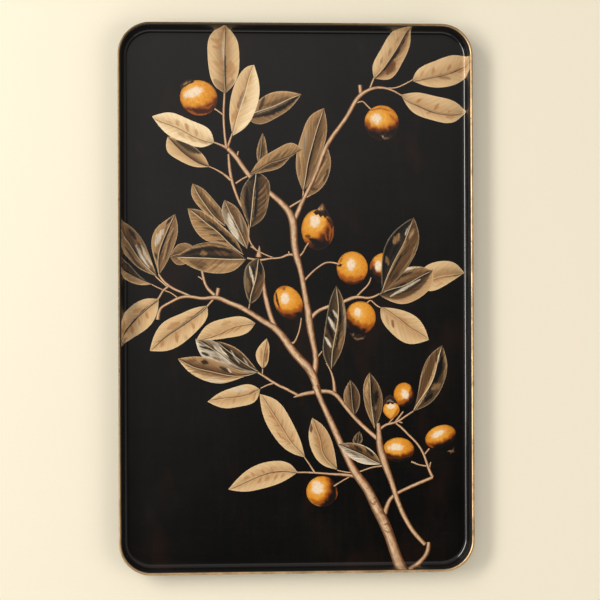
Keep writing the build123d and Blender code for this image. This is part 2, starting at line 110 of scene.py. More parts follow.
class Signal:
    """A node socket that carries numbers; arithmetic on it adds Math nodes."""

    def __init__(self, web: "NodeWeb", socket: bpy.types.NodeSocket) -> None:
        """Wraps a socket of a node web."""
        self.web = web
        self.socket = socket

    def __add__(self, other: Value) -> "Signal":
        """self + other."""
        return self.web.math("ADD", self, other)

    def __radd__(self, other: Value) -> "Signal":
        """other + self."""
        return self.web.math("ADD", other, self)

    def __sub__(self, other: Value) -> "Signal":
        """self - other."""
        return self.web.math("SUBTRACT", self, other)

    def __rsub__(self, other: Value) -> "Signal":
        """other - self."""
        return self.web.math("SUBTRACT", other, self)

    def __mul__(self, other: Value) -> "Signal":
        """self * other."""
        return self.web.math("MULTIPLY", self, other)

    def __rmul__(self, other: Value) -> "Signal":
        """other * self."""
        return self.web.math("MULTIPLY", other, self)

    def __truediv__(self, other: Value) -> "Signal":
        """self / other."""
        return self.web.math("DIVIDE", self, other)

    def __abs__(self) -> "Signal":
        """Size without sign."""
        return self.web.math("ABSOLUTE", self)

    def fract(self) -> "Signal":
        """What is left over the last whole number."""
        return self.web.math("FRACT", self)

    def least(self, other: Value) -> "Signal":
        """The smaller of two."""
        return self.web.math("MINIMUM", self, other)

    def smooth(self, low: float, high: float) -> "Signal":
        """Eased step from 0 at `low` to 1 at `high`."""
        node = self.web.add(
            "ShaderNodeMapRange",
            {"interpolation_type": "SMOOTHSTEP"},
            {"Value": self, "From Min": low, "From Max": high},
        )
        return Signal(self.web, node.outputs["Result"])


Feed = Union[Signal, float, Sequence[float], bpy.types.NodeSocket]


class NodeWeb:
    """The nodes of one material or world, made one by one."""

    def __init__(self, tree: bpy.types.NodeTree) -> None:
        """Starts on an emptied node tree."""
        self.tree = tree
        tree.nodes.clear()

    def add(self, kind: str, settings: Dict[str, object], sockets: Dict[str, Feed]) -> bpy.types.Node:
        """Adds a node.

        Args:
            kind: the node's type.
            settings: attributes of the node, set before its sockets.
            sockets: input identifiers with their values or the sockets that feed them.

        Returns:
            The new node.
        """
        node = self.tree.nodes.new(kind)
        for name, setting in settings.items():
            setattr(node, name, setting)
        for key, feed in sockets.items():
            target = next(s for s in node.inputs if s.identifier == key)
            if isinstance(feed, Signal):
                self.tree.links.new(feed.socket, target)
            elif isinstance(feed, bpy.types.NodeSocket):
                self.tree.links.new(feed, target)
            else:
                target.default_value = feed
        return node

    def math(self, operation: str, *values: Value) -> Signal:
        """A Math node on one or two values."""
        keys = ("Value", "Value_001")
        node = self.add("ShaderNodeMath", {"operation": operation}, dict(zip(keys, values)))
        return Signal(self, node.outputs[0])

    def attribute(self, name: str) -> bpy.types.Node:
        """Reads a layer that is stored on the mesh."""
        return self.add("ShaderNodeAttribute", {"attribute_name": name}, {})

    def parts(self, vector: bpy.types.NodeSocket) -> Tuple[Signal, Signal, Signal]:
        """The three numbers of a vector."""
        node = self.add("ShaderNodeSeparateXYZ", {}, {"Vector": vector})
        return tuple(Signal(self, out) for out in node.outputs)

    def vector(self, x: Value, y: Value, z: Value) -> bpy.types.NodeSocket:
        """A vector of three numbers."""
        return self.add("ShaderNodeCombineXYZ", {}, {"X": x, "Y": y, "Z": z}).outputs[0]

    def noise(self, vector: bpy.types.NodeSocket, scale: float, detail: float = 2.0,
              roughness: float = 0.5) -> Signal:
        """Soft random values around 0.5.

        Args:
            vector: where the noise is read.
            scale: how fine it is.
            detail: how many finer octaves are added.
            roughness: how strong the finer octaves are.

        Returns:
            The noise value.
        """
        node = self.add(
            "ShaderNodeTexNoise", {},
            {"Vector": vector, "Scale": scale, "Detail": detail, "Roughness": roughness},
        )
        return Signal(self, node.outputs[0])

    def mix(self, factor: Feed, first: Feed, second: Feed, mode: str = "MIX") -> bpy.types.NodeSocket:
        """Blends two colours.

        Args:
            factor: share of the second colour.
            first: colour under the blend.
            second: colour over it.
            mode: how the two are blended.

        Returns:
            The blended colour's socket.
        """
        node = self.add(
            "ShaderNodeMix",
            {"data_type": "RGBA", "blend_type": mode, "clamp_factor": True},
            {"Factor_Float": factor, "A_Color": first, "B_Color": second},
        )
        return next(out for out in node.outputs if out.identifier == "Result_Color")

    def scaled(self, colour: Feed, gain: Value) -> bpy.types.NodeSocket:
        """A colour made lighter or darker by a number."""
        feed = colour if isinstance(colour, bpy.types.NodeSocket) else colour[:3]
        node = self.add("ShaderNodeVectorMath", {"operation": "SCALE"}, {"Vector": feed, "Scale": gain})
        return node.outputs[0]

    def bump(self, height: Signal, strength: float, distance: float) -> bpy.types.NodeSocket:
        """A surface direction tilted by a height."""
        sockets = {"Height": height, "Strength": strength, "Distance": distance}
        return self.add("ShaderNodeBump", {}, sockets).outputs[0]

    def finish(self, sockets: Dict[str, Feed]) -> None:
        """Ends the web in a Principled surface."""
        surface = self.add("ShaderNodeBsdfPrincipled", {}, sockets)
        self.add("ShaderNodeOutputMaterial", {}, {"Surface": surface.outputs[0]})


def new_material(name: str) -> Tuple[bpy.types.Material, NodeWeb]:
    """An empty material and its node web."""
    material = bpy.data.materials.new(name)
    material.use_nodes = True
    return material, NodeWeb(material.node_tree)


# ------------------------------------------------------------------ finishes
VARNISH = {"Specular IOR Level": 0.1, "Coat Weight": 1.0, "Coat Roughness": 0.035, "Coat IOR": 1.45}


@dataclass(frozen=True)
class Lacquer:
    """Black stoved lacquer, polished on the face and duller on the back."""

    name: str
    deep: Colour = pigment(12, 12, 11)
    warm: Colour = pigment(27, 23, 20)
    sheen: float = 0.05
    dust: float = 0.25

    def material(self) -> bpy.types.Material:
        """The lacquer's material: clouded black with brush drag, fine dust and slow waves."""
        material, web = new_material(self.name)
        place = web.add("ShaderNodeTexCoord", {}, {}).outputs["Object"]
        x, y, z = web.parts(place)
        cloud = web.noise(place, 9.0, 4.0, 0.6)
        drag = web.noise(web.vector(x * 260.0, y * 14.0, z), 1.0, 3.0, 0.6)
        weave = web.noise(web.vector(x * 20.0, y * 420.0, z), 1.0, 2.0, 0.6)
        speck = web.noise(place, 1500.0, 1.0).smooth(0.72, 0.8)
        amount = cloud.smooth(0.35, 0.75) * 0.6 + (drag - 0.5) * 0.7 + (weave - 0.5) * 0.5
        colour = web.mix(amount, self.deep, self.warm)
        smudge = web.noise(web.vector(x * 1.0, y * 0.5, z), 22.0, 3.0, 0.6).smooth(0.52, 0.72)
        colour = web.mix(smudge * 0.5, colour, pigment(38, 22, 18))
        colour = web.mix(speck * self.dust, colour, pigment(96, 88, 76))
        wave = web.noise(place, 14.0, 2.0) * 1.0 + web.noise(place, 190.0, 2.0) * 0.02
        web.finish({
            "Base Color": colour,
            "Roughness": self.sheen + z.smooth(0.0045, 0.009) * 0.4 + cloud * 0.04 + speck * 0.2,
            "Specular IOR Level": 0.5,
            "Normal": web.bump(wave, 0.35, 0.0006),
        })
        return material


@dataclass(frozen=True)
class Gilding:
    """Bronze powder brushed thin over the rim, darkened in patches and with painted shade towards the upper left."""

    name: str
    bright: Colour = pigment(222, 186, 138)
    # darker gold, used for the patches and for the painted shade
    dull_and_shaded: Colour = pigment(104, 80, 50)

    def material(self) -> bpy.types.Material:
        """The gilding's material: patchy metal with grain, rubbed spots and painted shade towards the upper left."""
        material, web = new_material(self.name)
        place = web.add("ShaderNodeTexCoord", {}, {}).outputs["Object"]
        patch = web.noise(place, 55.0, 4.0, 0.65)
        grain = web.noise(place, 900.0, 3.0, 0.7)
        rub = web.noise(place, 160.0, 3.0, 0.6).smooth(0.6, 0.74)
        x, y, _ = web.parts(place)
        # painted shade: towards the upper left the gold is blended into the darker tone
        painted_light_share = (x - y * 0.6 + (patch - 0.5) * 0.1).smooth(-0.16, 0.08)
        colour = web.mix(patch.smooth(0.36, 0.7) * 0.6, self.bright, self.dull_and_shaded)
        colour = web.mix(painted_light_share, self.dull_and_shaded, colour)
        colour = web.mix((grain - 0.5) * 0.6, colour, pigment(250, 226, 184))
        colour = web.mix(rub * 0.55, colour, pigment(44, 33, 22))
        web.finish({
            "Base Color": colour,
            "Metallic": 0.85 - rub * 0.6,
            "Roughness": 0.36 + patch * 0.18 + rub * 0.15,
            "Normal": web.bump(grain + patch * 1.5, 0.35, 0.00008),
        })
        return material


@dataclass(frozen=True)
class Steel:
    """Bare rolled steel under the lacquer, or drawn wire in the curl."""

    name: str
    colour: Colour = pigment(128, 128, 126)
    grain: Tuple[float, float] = (900.0, 25.0)

    def material(self) -> bpy.types.Material:
        """The steel's material: grained metal with a few darker stains."""
        material, web = new_material(self.name)
        place = web.add("ShaderNodeTexCoord", {}, {}).outputs["Object"]
        x, y, z = web.parts(place)
        grain = web.noise(web.vector(x * self.grain[0], y * self.grain[1], z * 60.0), 1.0, 3.0)
        stain = web.noise(place, 40.0, 4.0).smooth(0.55, 0.8)
        colour = web.mix(stain * 0.6, self.colour, pigment(92, 80, 68))
        web.finish({
            "Base Color": web.scaled(colour, 0.8 + grain * 0.4),
            "Metallic": 0.95,
            "Roughness": 0.38 + grain * 0.2,
            "Normal": web.bump(grain, 0.3, 0.00003),
        })
        return material


@dataclass(frozen=True)
class LeafPaint:
    """Oil colour of leaves, laid in strokes that follow the side veins."""

    name: str
    shade: float
    streaks: float
    vein: float
    vein_depth: float = 0.5

    def material(self) -> bpy.types.Material:
        """The paint's material: the laid tint, side veins, bristle streaks and the midrib's lines."""
        material, web = new_material(self.name)
        tint = web.attribute("tint").outputs["Color"]
        phase, out, seed = web.parts(web.attribute("vein").outputs["Vector"])
        distance, pale, dark = web.parts(web.attribute("rib").outputs["Vector"])
        wobble = web.noise(web.vector(phase * 0.8, out * 1.6, seed), 1.0, 2.0)
        cell = (phase + (wobble - 0.5) * 1.4).fract()
        streak = web.noise(web.vector(phase * 4.5, out * 1.1, seed), 1.0, 3.0, 0.6).smooth(0.3, 0.7)
        bristle = web.noise(web.vector(phase * 15.0, out * 1.8, seed), 1.0, 2.0, 0.6).smooth(0.3, 0.7)
        inner = 1.0 - out * 0.65
        gain = 1.0 + (cell - 0.5) * self.shade * inner + (streak - 0.5) * self.streaks
        gain = gain + (bristle - 0.5) * (self.streaks * 0.55)
        line = (1.0 - cell.least(1.0 - cell).smooth(0.02, 0.15)) * inner * streak.smooth(0.3, 0.55)
        colour = web.scaled(tint, gain)
        colour = web.mix(line * self.vein, colour, web.scaled(tint, self.vein_depth))
        under = abs(distance - web.math("SIGN", dark) * 0.75)
        shadow = (1.0 - under.smooth(0.2, 0.75)) * abs(dark)
        light = (1.0 - abs(distance).smooth(0.18, 0.5)) * pale
        colour = web.mix(shadow, colour, Tone.BLACK.value)
        colour = web.mix(light, colour, Tone.CREAM.value)
        relief = bristle * 0.6 + streak * 0.4 - line * 0.5 + light * 0.5
        web.finish({
            "Base Color": colour,
            "Roughness": 0.55 - streak * 0.15,
            "Normal": web.bump(relief, 0.4, 0.00005),
            **VARNISH,
        })
        return material


@dataclass(frozen=True)
class FruitPaint:
    """Oil colour of the fruits, blended wet along their round sides."""

    name: str
    streaks: float = 0.22

    def material(self) -> bpy.types.Material:
        """The paint's material: the laid tint with curved bristle streaks and small spots."""
        material, web = new_material(self.name)
        tint = web.attribute("tint").outputs["Color"]
        around, out, seed = web.parts(web.attribute("vein").outputs["Vector"])
        streak = web.noise(web.vector(around * 2.0, out * 5.0, seed), 1.0, 3.0, 0.6).smooth(0.3, 0.7)
        bristle = web.noise(web.vector(around * 3.0, out * 14.0, seed), 1.0, 2.0, 0.6).smooth(0.3, 0.7)
        spot = web.noise(web.vector(around * 6.0, out * 9.0, seed), 1.0, 1.0).smooth(0.66, 0.74)
        gain = 1.0 + (streak - 0.5) * self.streaks + (bristle - 0.5) * (self.streaks * 0.6)
        colour = web.scaled(tint, gain)
        colour = web.mix(spot * 0.3, colour, web.scaled(tint, 0.5))
        web.finish({
            "Base Color": colour,
            "Roughness": 0.5 - streak * 0.12,
            "Normal": web.bump(streak * 0.5 + bristle * 0.5 - spot * 0.3, 0.4, 0.00005),
            **VARNISH,
        })
        return material


@dataclass(frozen=True)
class BarkPaint:
    """Oil colour of the branch, dragged along its length."""

    name: str
    streaks: float
    outline: float = 0.85

    def material(self) -> bpy.types.Material:
        """The paint's material: the laid tint with long streaks, bark scars and a darker outline."""
        material, web = new_material(self.name)
        tint = web.attribute("tint").outputs["Color"]
        along, across, seed = web.parts(web.attribute("vein").outputs["Vector"])
        streak = web.noise(web.vector(along * 0.11, across * 2.4, seed), 1.0, 3.0, 0.6).smooth(0.3, 0.7)
        bristle = web.noise(web.vector(along * 0.3, across * 6.0, seed), 1.0, 2.0, 0.6).smooth(0.3, 0.7)
        scar = web.noise(web.vector(along * 0.55, across * 0.8, seed), 1.0, 2.0).smooth(0.6, 0.72)
        gain = 1.0 + (streak - 0.5) * self.streaks + (bristle - 0.5) * (self.streaks * 0.7)
        colour = web.scaled(tint, gain)
        colour = web.mix(scar * 0.4, colour, Tone.BROWN.value)
        edge = abs(across).smooth(0.35, 0.9)
        colour = web.mix(edge * self.outline, colour, pigment(92, 52, 24))
        web.finish({
            "Base Color": colour,
            "Roughness": 0.55 - streak * 0.15,
            "Normal": web.bump(streak * 0.6 + bristle * 0.4 - scar * 0.4, 0.4, 0.00006),
            **VARNISH,
        })
        return material


@dataclass(frozen=True)
class Plaster:
    """The pale floor under the tray."""

    name: str = "pale_floor"
    colour: Colour = pigment(246, 238, 218)

    def material(self) -> bpy.types.Material:
        """The floor's material: matt cream with faint clouds and grain."""
        material, web = new_material(self.name)
        place = web.add("ShaderNodeTexCoord", {}, {}).outputs["Object"]
        cloud = web.noise(place, 3.0, 3.0)
        grain = web.noise(place, 420.0, 3.0)
        gain = 0.985 + (cloud - 0.5) * 0.03 + (grain - 0.5) * 0.03
        web.finish({
            "Base Color": web.scaled(self.colour, gain),
            "Roughness": 0.85,
            "Normal": web.bump(grain, 0.15, 0.0002),
        })
        return material


# ------------------------------------------------------------------ the tray's shape
@dataclass(frozen=True)
class Section:
    """The pressed section, repeated from the CAD, in mm."""

    half_width: float = 155.0
    half_length: float = 240.0
    height: float = 15.0
    corner: float = 28.0
    sheet: float = 0.5
    cove: float = 4.0
    lean: float = math.radians(7)
    bead: float = 1.12
    face_film: float = 0.3
    back_film: float = 0.2
    gilding: float = 0.1
    lip_film: float = 0.035
    cove_seen: float = 4.1
    wall_seen: float = 2.6

    @property
    def floor_top(self) -> float:
        """Height of the sheet's face."""
        return self.back_film + self.sheet

    @property
    def curl(self) -> Point:
        """Middle of the curled rim, as outward distance from the tray's middle and height."""
        reach = self.gilding + self.bead
        return (self.half_width - reach, self.height - reach)

    @property
    def wall_top(self) -> Point:
        """Where the wall meets the curl."""
        x, z = self.curl
        return (x - self.bead * math.cos(self.lean), z + self.bead * math.sin(self.lean))

    @property
    def cove_middle(self) -> Point:
        """Centre of the cove's arc."""
        top_x, top_z = self.wall_top
        foot_z = self.floor_top + self.cove * (1 - math.sin(self.lean))
        foot_x = top_x - (top_z - foot_z) * math.tan(self.lean)
        return (foot_x - self.cove * math.cos(self.lean), self.floor_top + self.cove)

    @property
    def inset(self) -> float:
        """How far inside the rim the flat floor ends."""
        return self.half_width - self.cove_middle[0]

    @property
    def wall_run(self) -> float:
        """Length of the straight wall."""
        top_z = self.wall_top[1]
        foot_z = self.floor_top + self.cove * (1 - math.sin(self.lean))
        return (top_z - foot_z) / math.cos(self.lean)

    def over_sheet(self, turn: float, run: float, depth: float) -> Point:
        """A point over the sheet's face.

        Args:
            turn: angle around the cove, from 0 at the floor.
            run: distance up the wall past the cove.
            depth: distance from the sheet's face, towards the inside of the tray.

        Returns:
            Distance outward from the floor's edge, and height.
        """
        radius = self.cove - depth
        x = radius * math.sin(turn) + run * math.sin(self.lean)
        z = self.cove_middle[1] - radius * math.cos(turn) + run * math.cos(self.lean)
        return (x, z)

    def profile(self, depth: float, arc_steps: int = 14, wall_steps: int = 6) -> List[Point]:
        """The line at one depth from the floor's edge to the wall's top."""
        full = math.pi / 2 - self.lean
        line = [self.over_sheet(full * i / arc_steps, 0, depth) for i in range(arc_steps + 1)]
        line += [self.over_sheet(full, self.wall_run * i / wall_steps, depth) for i in range(1, wall_steps + 1)]
        return line

    def rim_point(self, radius: float, degrees: float) -> Point:
        """A point around the curled rim, outward from the floor's edge, and its height."""
        angle = math.radians(degrees)
        x = self.curl[0] - self.cove_middle[0] + radius * math.cos(angle)
        return (x, self.curl[1] + radius * math.sin(angle))

    def path(self, side_step: float = 8.0, corner_steps: int = 26) -> np.ndarray:
        """Stations around the floor's edge.

        Args:
            side_step: spacing on the straight sides.
            corner_steps: stations in each corner.

        Returns:
            Rows of x, y and the outward direction.
        """
        a = self.half_width - self.corner
        b = self.half_length - self.corner
        radius = self.corner - self.inset
        rows: List[Tuple[float, float, float, float]] = []
        for quarter, (cx, cy) in enumerate(((a, b), (-a, b), (-a, -b), (a, -b))):
            for step in range(corner_steps + 1):
                angle = math.pi / 2 * (quarter + step / corner_steps)
                nx, ny = math.cos(angle), math.sin(angle)
                rows.append((cx + radius * nx, cy + radius * ny, nx, ny))
            length = 2 * a if quarter % 2 == 0 else 2 * b
            count = int(length / side_step)
            x, y, nx, ny = rows[-1]
            for step in range(1, count):
                gone = length * step / count
                rows.append((x - ny * gone, y + nx * gone, nx, ny))
        return np.array(rows)

    def skin(self, x: float, y: float, lift: float) -> Tuple[float, float, float]:
        """Lays a drawn point on the face lacquer.

        Args:
            x: drawn place across the tray.
            y: drawn place along the tray.
            lift: height over the lacquer.

        Returns:
            The point in metres.
        """
        radius = self.corner - self.inset
        a, b = self.half_width - self.corner, self.half_length - self.corner
        qx, qy = abs(x) - a, abs(y) - b
        sx, sy = math.copysign(1, x), math.copysign(1, y)
        if qx > 0 and qy > 0:
            length = math.hypot(qx, qy)
            nx, ny = qx / length, qy / length
            beyond = length - radius
        elif qx > qy:
            nx, ny, beyond = 1.0, 0.0, qx - radius
        else:
            nx, ny, beyond = 0.0, 1.0, qy - radius
        depth = self.face_film + lift
        if beyond <= 0:
            return (x * MM, y * MM, (self.floor_top + depth) * MM)
        full = math.pi / 2 - self.lean
        turn = full * min(beyond / self.cove_seen, 1.0)
        run = self.wall_run * min(max(beyond - self.cove_seen, 0.0) / self.wall_seen, 0.995)
        out, z = self.over_sheet(turn, run, depth)
        return ((x + sx * nx * (out - beyond)) * MM, (y + sy * ny * (out - beyond)) * MM, z * MM)



def ridden(mesh: bpy.types.Mesh, name: str, finish: bpy.types.Material,
           nodes: Sequence[str]) -> bpy.types.Object:
    """Makes an object that rides on the tray.

    Args:
        mesh: its mesh.
        name: its name.
        finish: its material.
        nodes: the CAD nodes that it stands for.

    Returns:
        The object.
    """
    piece = bpy.data.objects.new(name, mesh)
    bpy.context.scene.collection.objects.link(piece)
    mesh.materials.append(finish)
    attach(piece, "root")
    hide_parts(*nodes)
    return piece


def closed_mesh(name: str, points: Sequence[Sequence[float]], faces: Sequence[Sequence[int]],
                crease: float = 35.0) -> bpy.types.Mesh:
    """A smooth-shaded mesh with hard edges only where faces turn sharply.

    Args:
        name: its name.
        points: its corners, in metres.
        faces: the corners' numbers, face by face.
        crease: the turn in degrees above which an edge is hard.

    Returns:
        The mesh.
    """
    mesh = bpy.data.meshes.new(name)
    mesh.from_pydata([tuple(p) for p in points], [], [tuple(f) for f in faces])
    mesh.validate()
    mesh.polygons.foreach_set("use_smooth", [True] * len(mesh.polygons))
    mesh.set_sharp_from_angle(angle=math.radians(crease))
    mesh.update()
    return mesh


def swept(name: str, profile: Callable[[int, float, float], Sequence[Point]], path: np.ndarray,
          capped: bool) -> bpy.types.Mesh:
    """Sweeps a section around the tray.

    Args:
        name: the mesh's name.
        profile: gives a station's section from its number and place, as (outward, height) in mm.
        path: stations around the floor's edge.
        capped: whether the section's ends are closed by flat plates across the tray, instead of
            joining each other.

    Returns:
        A closed mesh.
    """
    rows = [profile(i, x, y) for i, (x, y, _, _) in enumerate(path)]
    size, count = len(rows[0]), len(path)
    points = []
    for (x, y, nx, ny), row in zip(path, rows):
        points += [((x + nx * out) * MM, (y + ny * out) * MM, z * MM) for out, z in row]
    faces = []
    last = size - 1 if capped else size
    for i in range(count):
        here, there = i * size, (i + 1) % count * size
        for j in range(last):
            k = (j + 1) % size
            faces.append((here + j, there + j, there + k, here + k))
    if capped:
        faces.append([i * size for i in range(count)][::-1])
        faces.append([i * size + size - 1 for i in range(count)])
    mesh = closed_mesh(name, points, faces)
    work = bmesh.new()
    work.from_mesh(mesh)
    bmesh.ops.recalc_face_normals(work, faces=work.faces)
    work.to_mesh(mesh)
    work.free()
    return mesh


@dataclass
class TrayBody:
    """The pan with its lacquer and gilding."""

    section: Section = field(default_factory=Section)
    brush_step: float = 0.03

    def drift(self, x: float, y: float, seed: float) -> float:
        """A slow random value along the rim, from about -1 to 1."""
        return noise.noise(Vector((x * 0.09, y * 0.09, seed))) * 1.6

    def face(self, finish: bpy.types.Material) -> bpy.types.Object:
        """The face lacquer: floor, cove and wall, thinning onto the rim at its top.

        Args:
            finish: its material.

        Returns:
            The film.
        """
        s = self.section
        upper = s.profile(s.face_film)
        lower = s.profile(0.0)
        floor_high = s.floor_top + s.face_film
        lip = [s.rim_point(s.bead + 0.16, 171)]
        lip += [s.rim_point(s.bead + s.lip_film, a) for a in range(163, 111, -6)]
        lip += [s.rim_point(s.bead, a) for a in range(109, 170, 6)]
        inner = [(-14.0, floor_high), (-3.0, floor_high)]
        back = [(-3.0, s.floor_top), (-14.0, s.floor_top)]
        row = inner + upper + lip + lower[::-1] + back
        mesh = swept("face_lacquer_film", lambda i, x, y: row, s.path(), True)
        return ridden(mesh, "face_lacquer_film", finish, ["face_lacquer"])

    def gilded_rim(self, finish: bpy.types.Material) -> bpy.types.Object:
        """The gilding over the curled rim, with the brush's uneven edge on both sides.

        Args:
            finish: its material.

        Returns:
            The band.
        """
        s = self.section
        first, sweep, steps = 168, 208, 22
        angles = [first - i * sweep / steps for i in range(steps + 1)]

        def row(index: int, x: float, y: float) -> List[Point]:
            """One station's band."""
            # towards the upper left the band's inner edge starts nearer the crest, so less of the curl is gilded
            # there
            upper_left_share = float(eased(np.array([y * 0.6 - x]), -60, 90)[0])
            start = 5 * self.drift(x, y, 3.1) - 44 * upper_left_share
            end = 9 * self.drift(x, y, 8.7)
            turned = [a + start * (1 - i / steps) + end * i / steps for i, a in enumerate(angles)]
            film = s.gilding - self.brush_step * abs(self.drift(x * 2, y * 2, 5.3))
            outer = [s.rim_point(s.bead + film, a) for a in turned[1:-1]]
            ends = [s.rim_point(s.bead + 0.02, turned[0]), s.rim_point(s.bead + 0.02, turned[-1])]
            under = [s.rim_point(s.bead, a) for a in turned[::-1]]
            return [ends[0]] + outer + [ends[1]] + under

        mesh = swept("rim_gilding_band", row, s.path(3.0), False)
        return ridden(mesh, "rim_gilding_band", finish, ["rim_gilding"])

    def outer_wall(self, finish: bpy.types.Material) -> bpy.types.Object:
        """The back lacquer outside: from the base round the cove, up the wall and under the curl.

        Args:
            finish: its material.

        Returns:
            The film.
        """
        s = self.section
        outer = s.profile(-s.sheet - s.back_film)
        inner = s.profile(-s.sheet)
        trim = next(i for i, (_, z) in enumerate(outer) if z > s.curl[1] - s.bead - s.back_film)
        outer, inner = outer[:trim], inner[:trim]
        base = s.rim_point(0, 0)[0]
        under = [s.rim_point(s.bead + s.back_film, a) for a in range(-100, -39, 6)]
        over = [s.rim_point(s.bead, a) for a in range(-40, -131, -6)]
        hollow = s.over_sheet(math.pi / 2 - s.lean, s.wall_run - 1.5, -s.sheet)
        throat = s.over_sheet(math.pi / 2 - s.lean, s.wall_run - 3.2, -s.sheet - s.back_film)
        row = outer + [throat] + under + over + [hollow] + inner[::-1]
        row = [p for p in row if p[0] <= base + s.bead + s.gilding]
        mesh = swept("wall_lacquer_film", lambda i, x, y: row, s.path(), False)
        return ridden(mesh, "wall_lacquer_film", finish, ["wall_lacquer"])

    def dress_frame(self, finishes: Dict[str, bpy.types.Material]) -> None:
        """Gives the CAD nodes that stay in view their own finish."""
        for node, finish in finishes.items():
            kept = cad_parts[node]
            kept.data.materials.clear()
            kept.data.materials.append(finish)


# ------------------------------------------------------------------ painted layers
def smooth_line(points: Sequence[Sequence[float]], count: int) -> np.ndarray:
    """A natural spline through points.

    Args:
        points: rows that start with x and y; further columns follow along.
        count: how many even samples to return.

    Returns:
        The samples, one row each.
    """
    p = np.asarray(points, float)
    step = np.linalg.norm(np.diff(p[:, :2], axis=0), axis=1)
    knots = np.concatenate([[0.0], np.cumsum(step)])
    size = len(p)
    matrix = np.eye(size)
    load = np.zeros_like(p)
    for i in range(1, size - 1):
        matrix[i, i - 1:i + 2] = step[i - 1], 2 * (step[i - 1] + step[i]), step[i]
        load[i] = 6 * ((p[i + 1] - p[i]) / step[i] - (p[i] - p[i - 1]) / step[i - 1])
    bend = np.linalg.solve(matrix, load)
    at = np.linspace(0, knots[-1], count)
    i = np.clip(np.searchsorted(knots, at, side="right") - 1, 0, size - 2)
    h, a, b = step[i][:, None], (knots[i + 1] - at)[:, None], (at - knots[i])[:, None]
    curve = (bend[i] * a ** 3 + bend[i + 1] * b ** 3) / (6 * h)
    return curve + (p[i] / h - bend[i] * h / 6) * a + (p[i + 1] / h - bend[i + 1] * h / 6) * b


def eased(value: np.ndarray, low: float, high: float) -> np.ndarray:
    """Smooth step from 0 at `low` to 1 at `high`."""
    share = np.clip((value - low) / (high - low), 0, 1)
    return share * share * (3 - 2 * share)


def blended(first: np.ndarray, second: np.ndarray, share: np.ndarray) -> np.ndarray:
    """Mixes two colours or fields of colour by a share per point."""
    return first + (second - first) * share[:, None]


def rgb(tone: Tone) -> np.ndarray:
    """A tone's three linear numbers."""
    return np.array(tone.value[:3])


def unevenness(spots: np.ndarray, scale: float = 0.55) -> np.ndarray:
    """Slow random values between about -1 and 1, which make brushed edges uneven."""
    return np.array([noise.noise(Vector((x * scale, y * scale, 4.7))) for x, y in spots]) * 1.6


@dataclass(frozen=True)
class Mark:
    """One touch of the brush: its colour, strength, width in mm and path."""

    tone: Tone
    strength: float
    width: float
    path: Tuple[Point, ...]

    def lay(self, spots: np.ndarray, tint: np.ndarray, uneven: np.ndarray) -> np.ndarray:
        """Blends the touch into a tint.

        Args:
            spots: drawn places of the points.
            tint: their colours so far.
            uneven: random values at the points, for the touch's ragged edge.

        Returns:
            The new colours.
        """
        nearest = np.full(len(spots), 1e9)
        pieces = len(self.path) - 1
        for number, (start, end) in enumerate(zip(self.path[:-1], self.path[1:])):
            a, b = np.array(start, float), np.array(end, float)
            run = b - a
            share = np.clip((spots - a) @ run / (run @ run), 0, 1)
            away = np.linalg.norm(spots - a - share[:, None] * run, axis=1)
            swell = 0.4 + 0.75 * np.sin(math.pi * (number + share) / pieces)
            nearest = np.minimum(nearest, away / swell)
        nearest = nearest + uneven * min(0.18 * self.width, 0.7)
        cover = min(1.0, 1.2 * self.strength) * (1 - eased(nearest, 0.25 * self.width, 0.78 * self.width))
        return blended(tint, rgb(self.tone), cover)


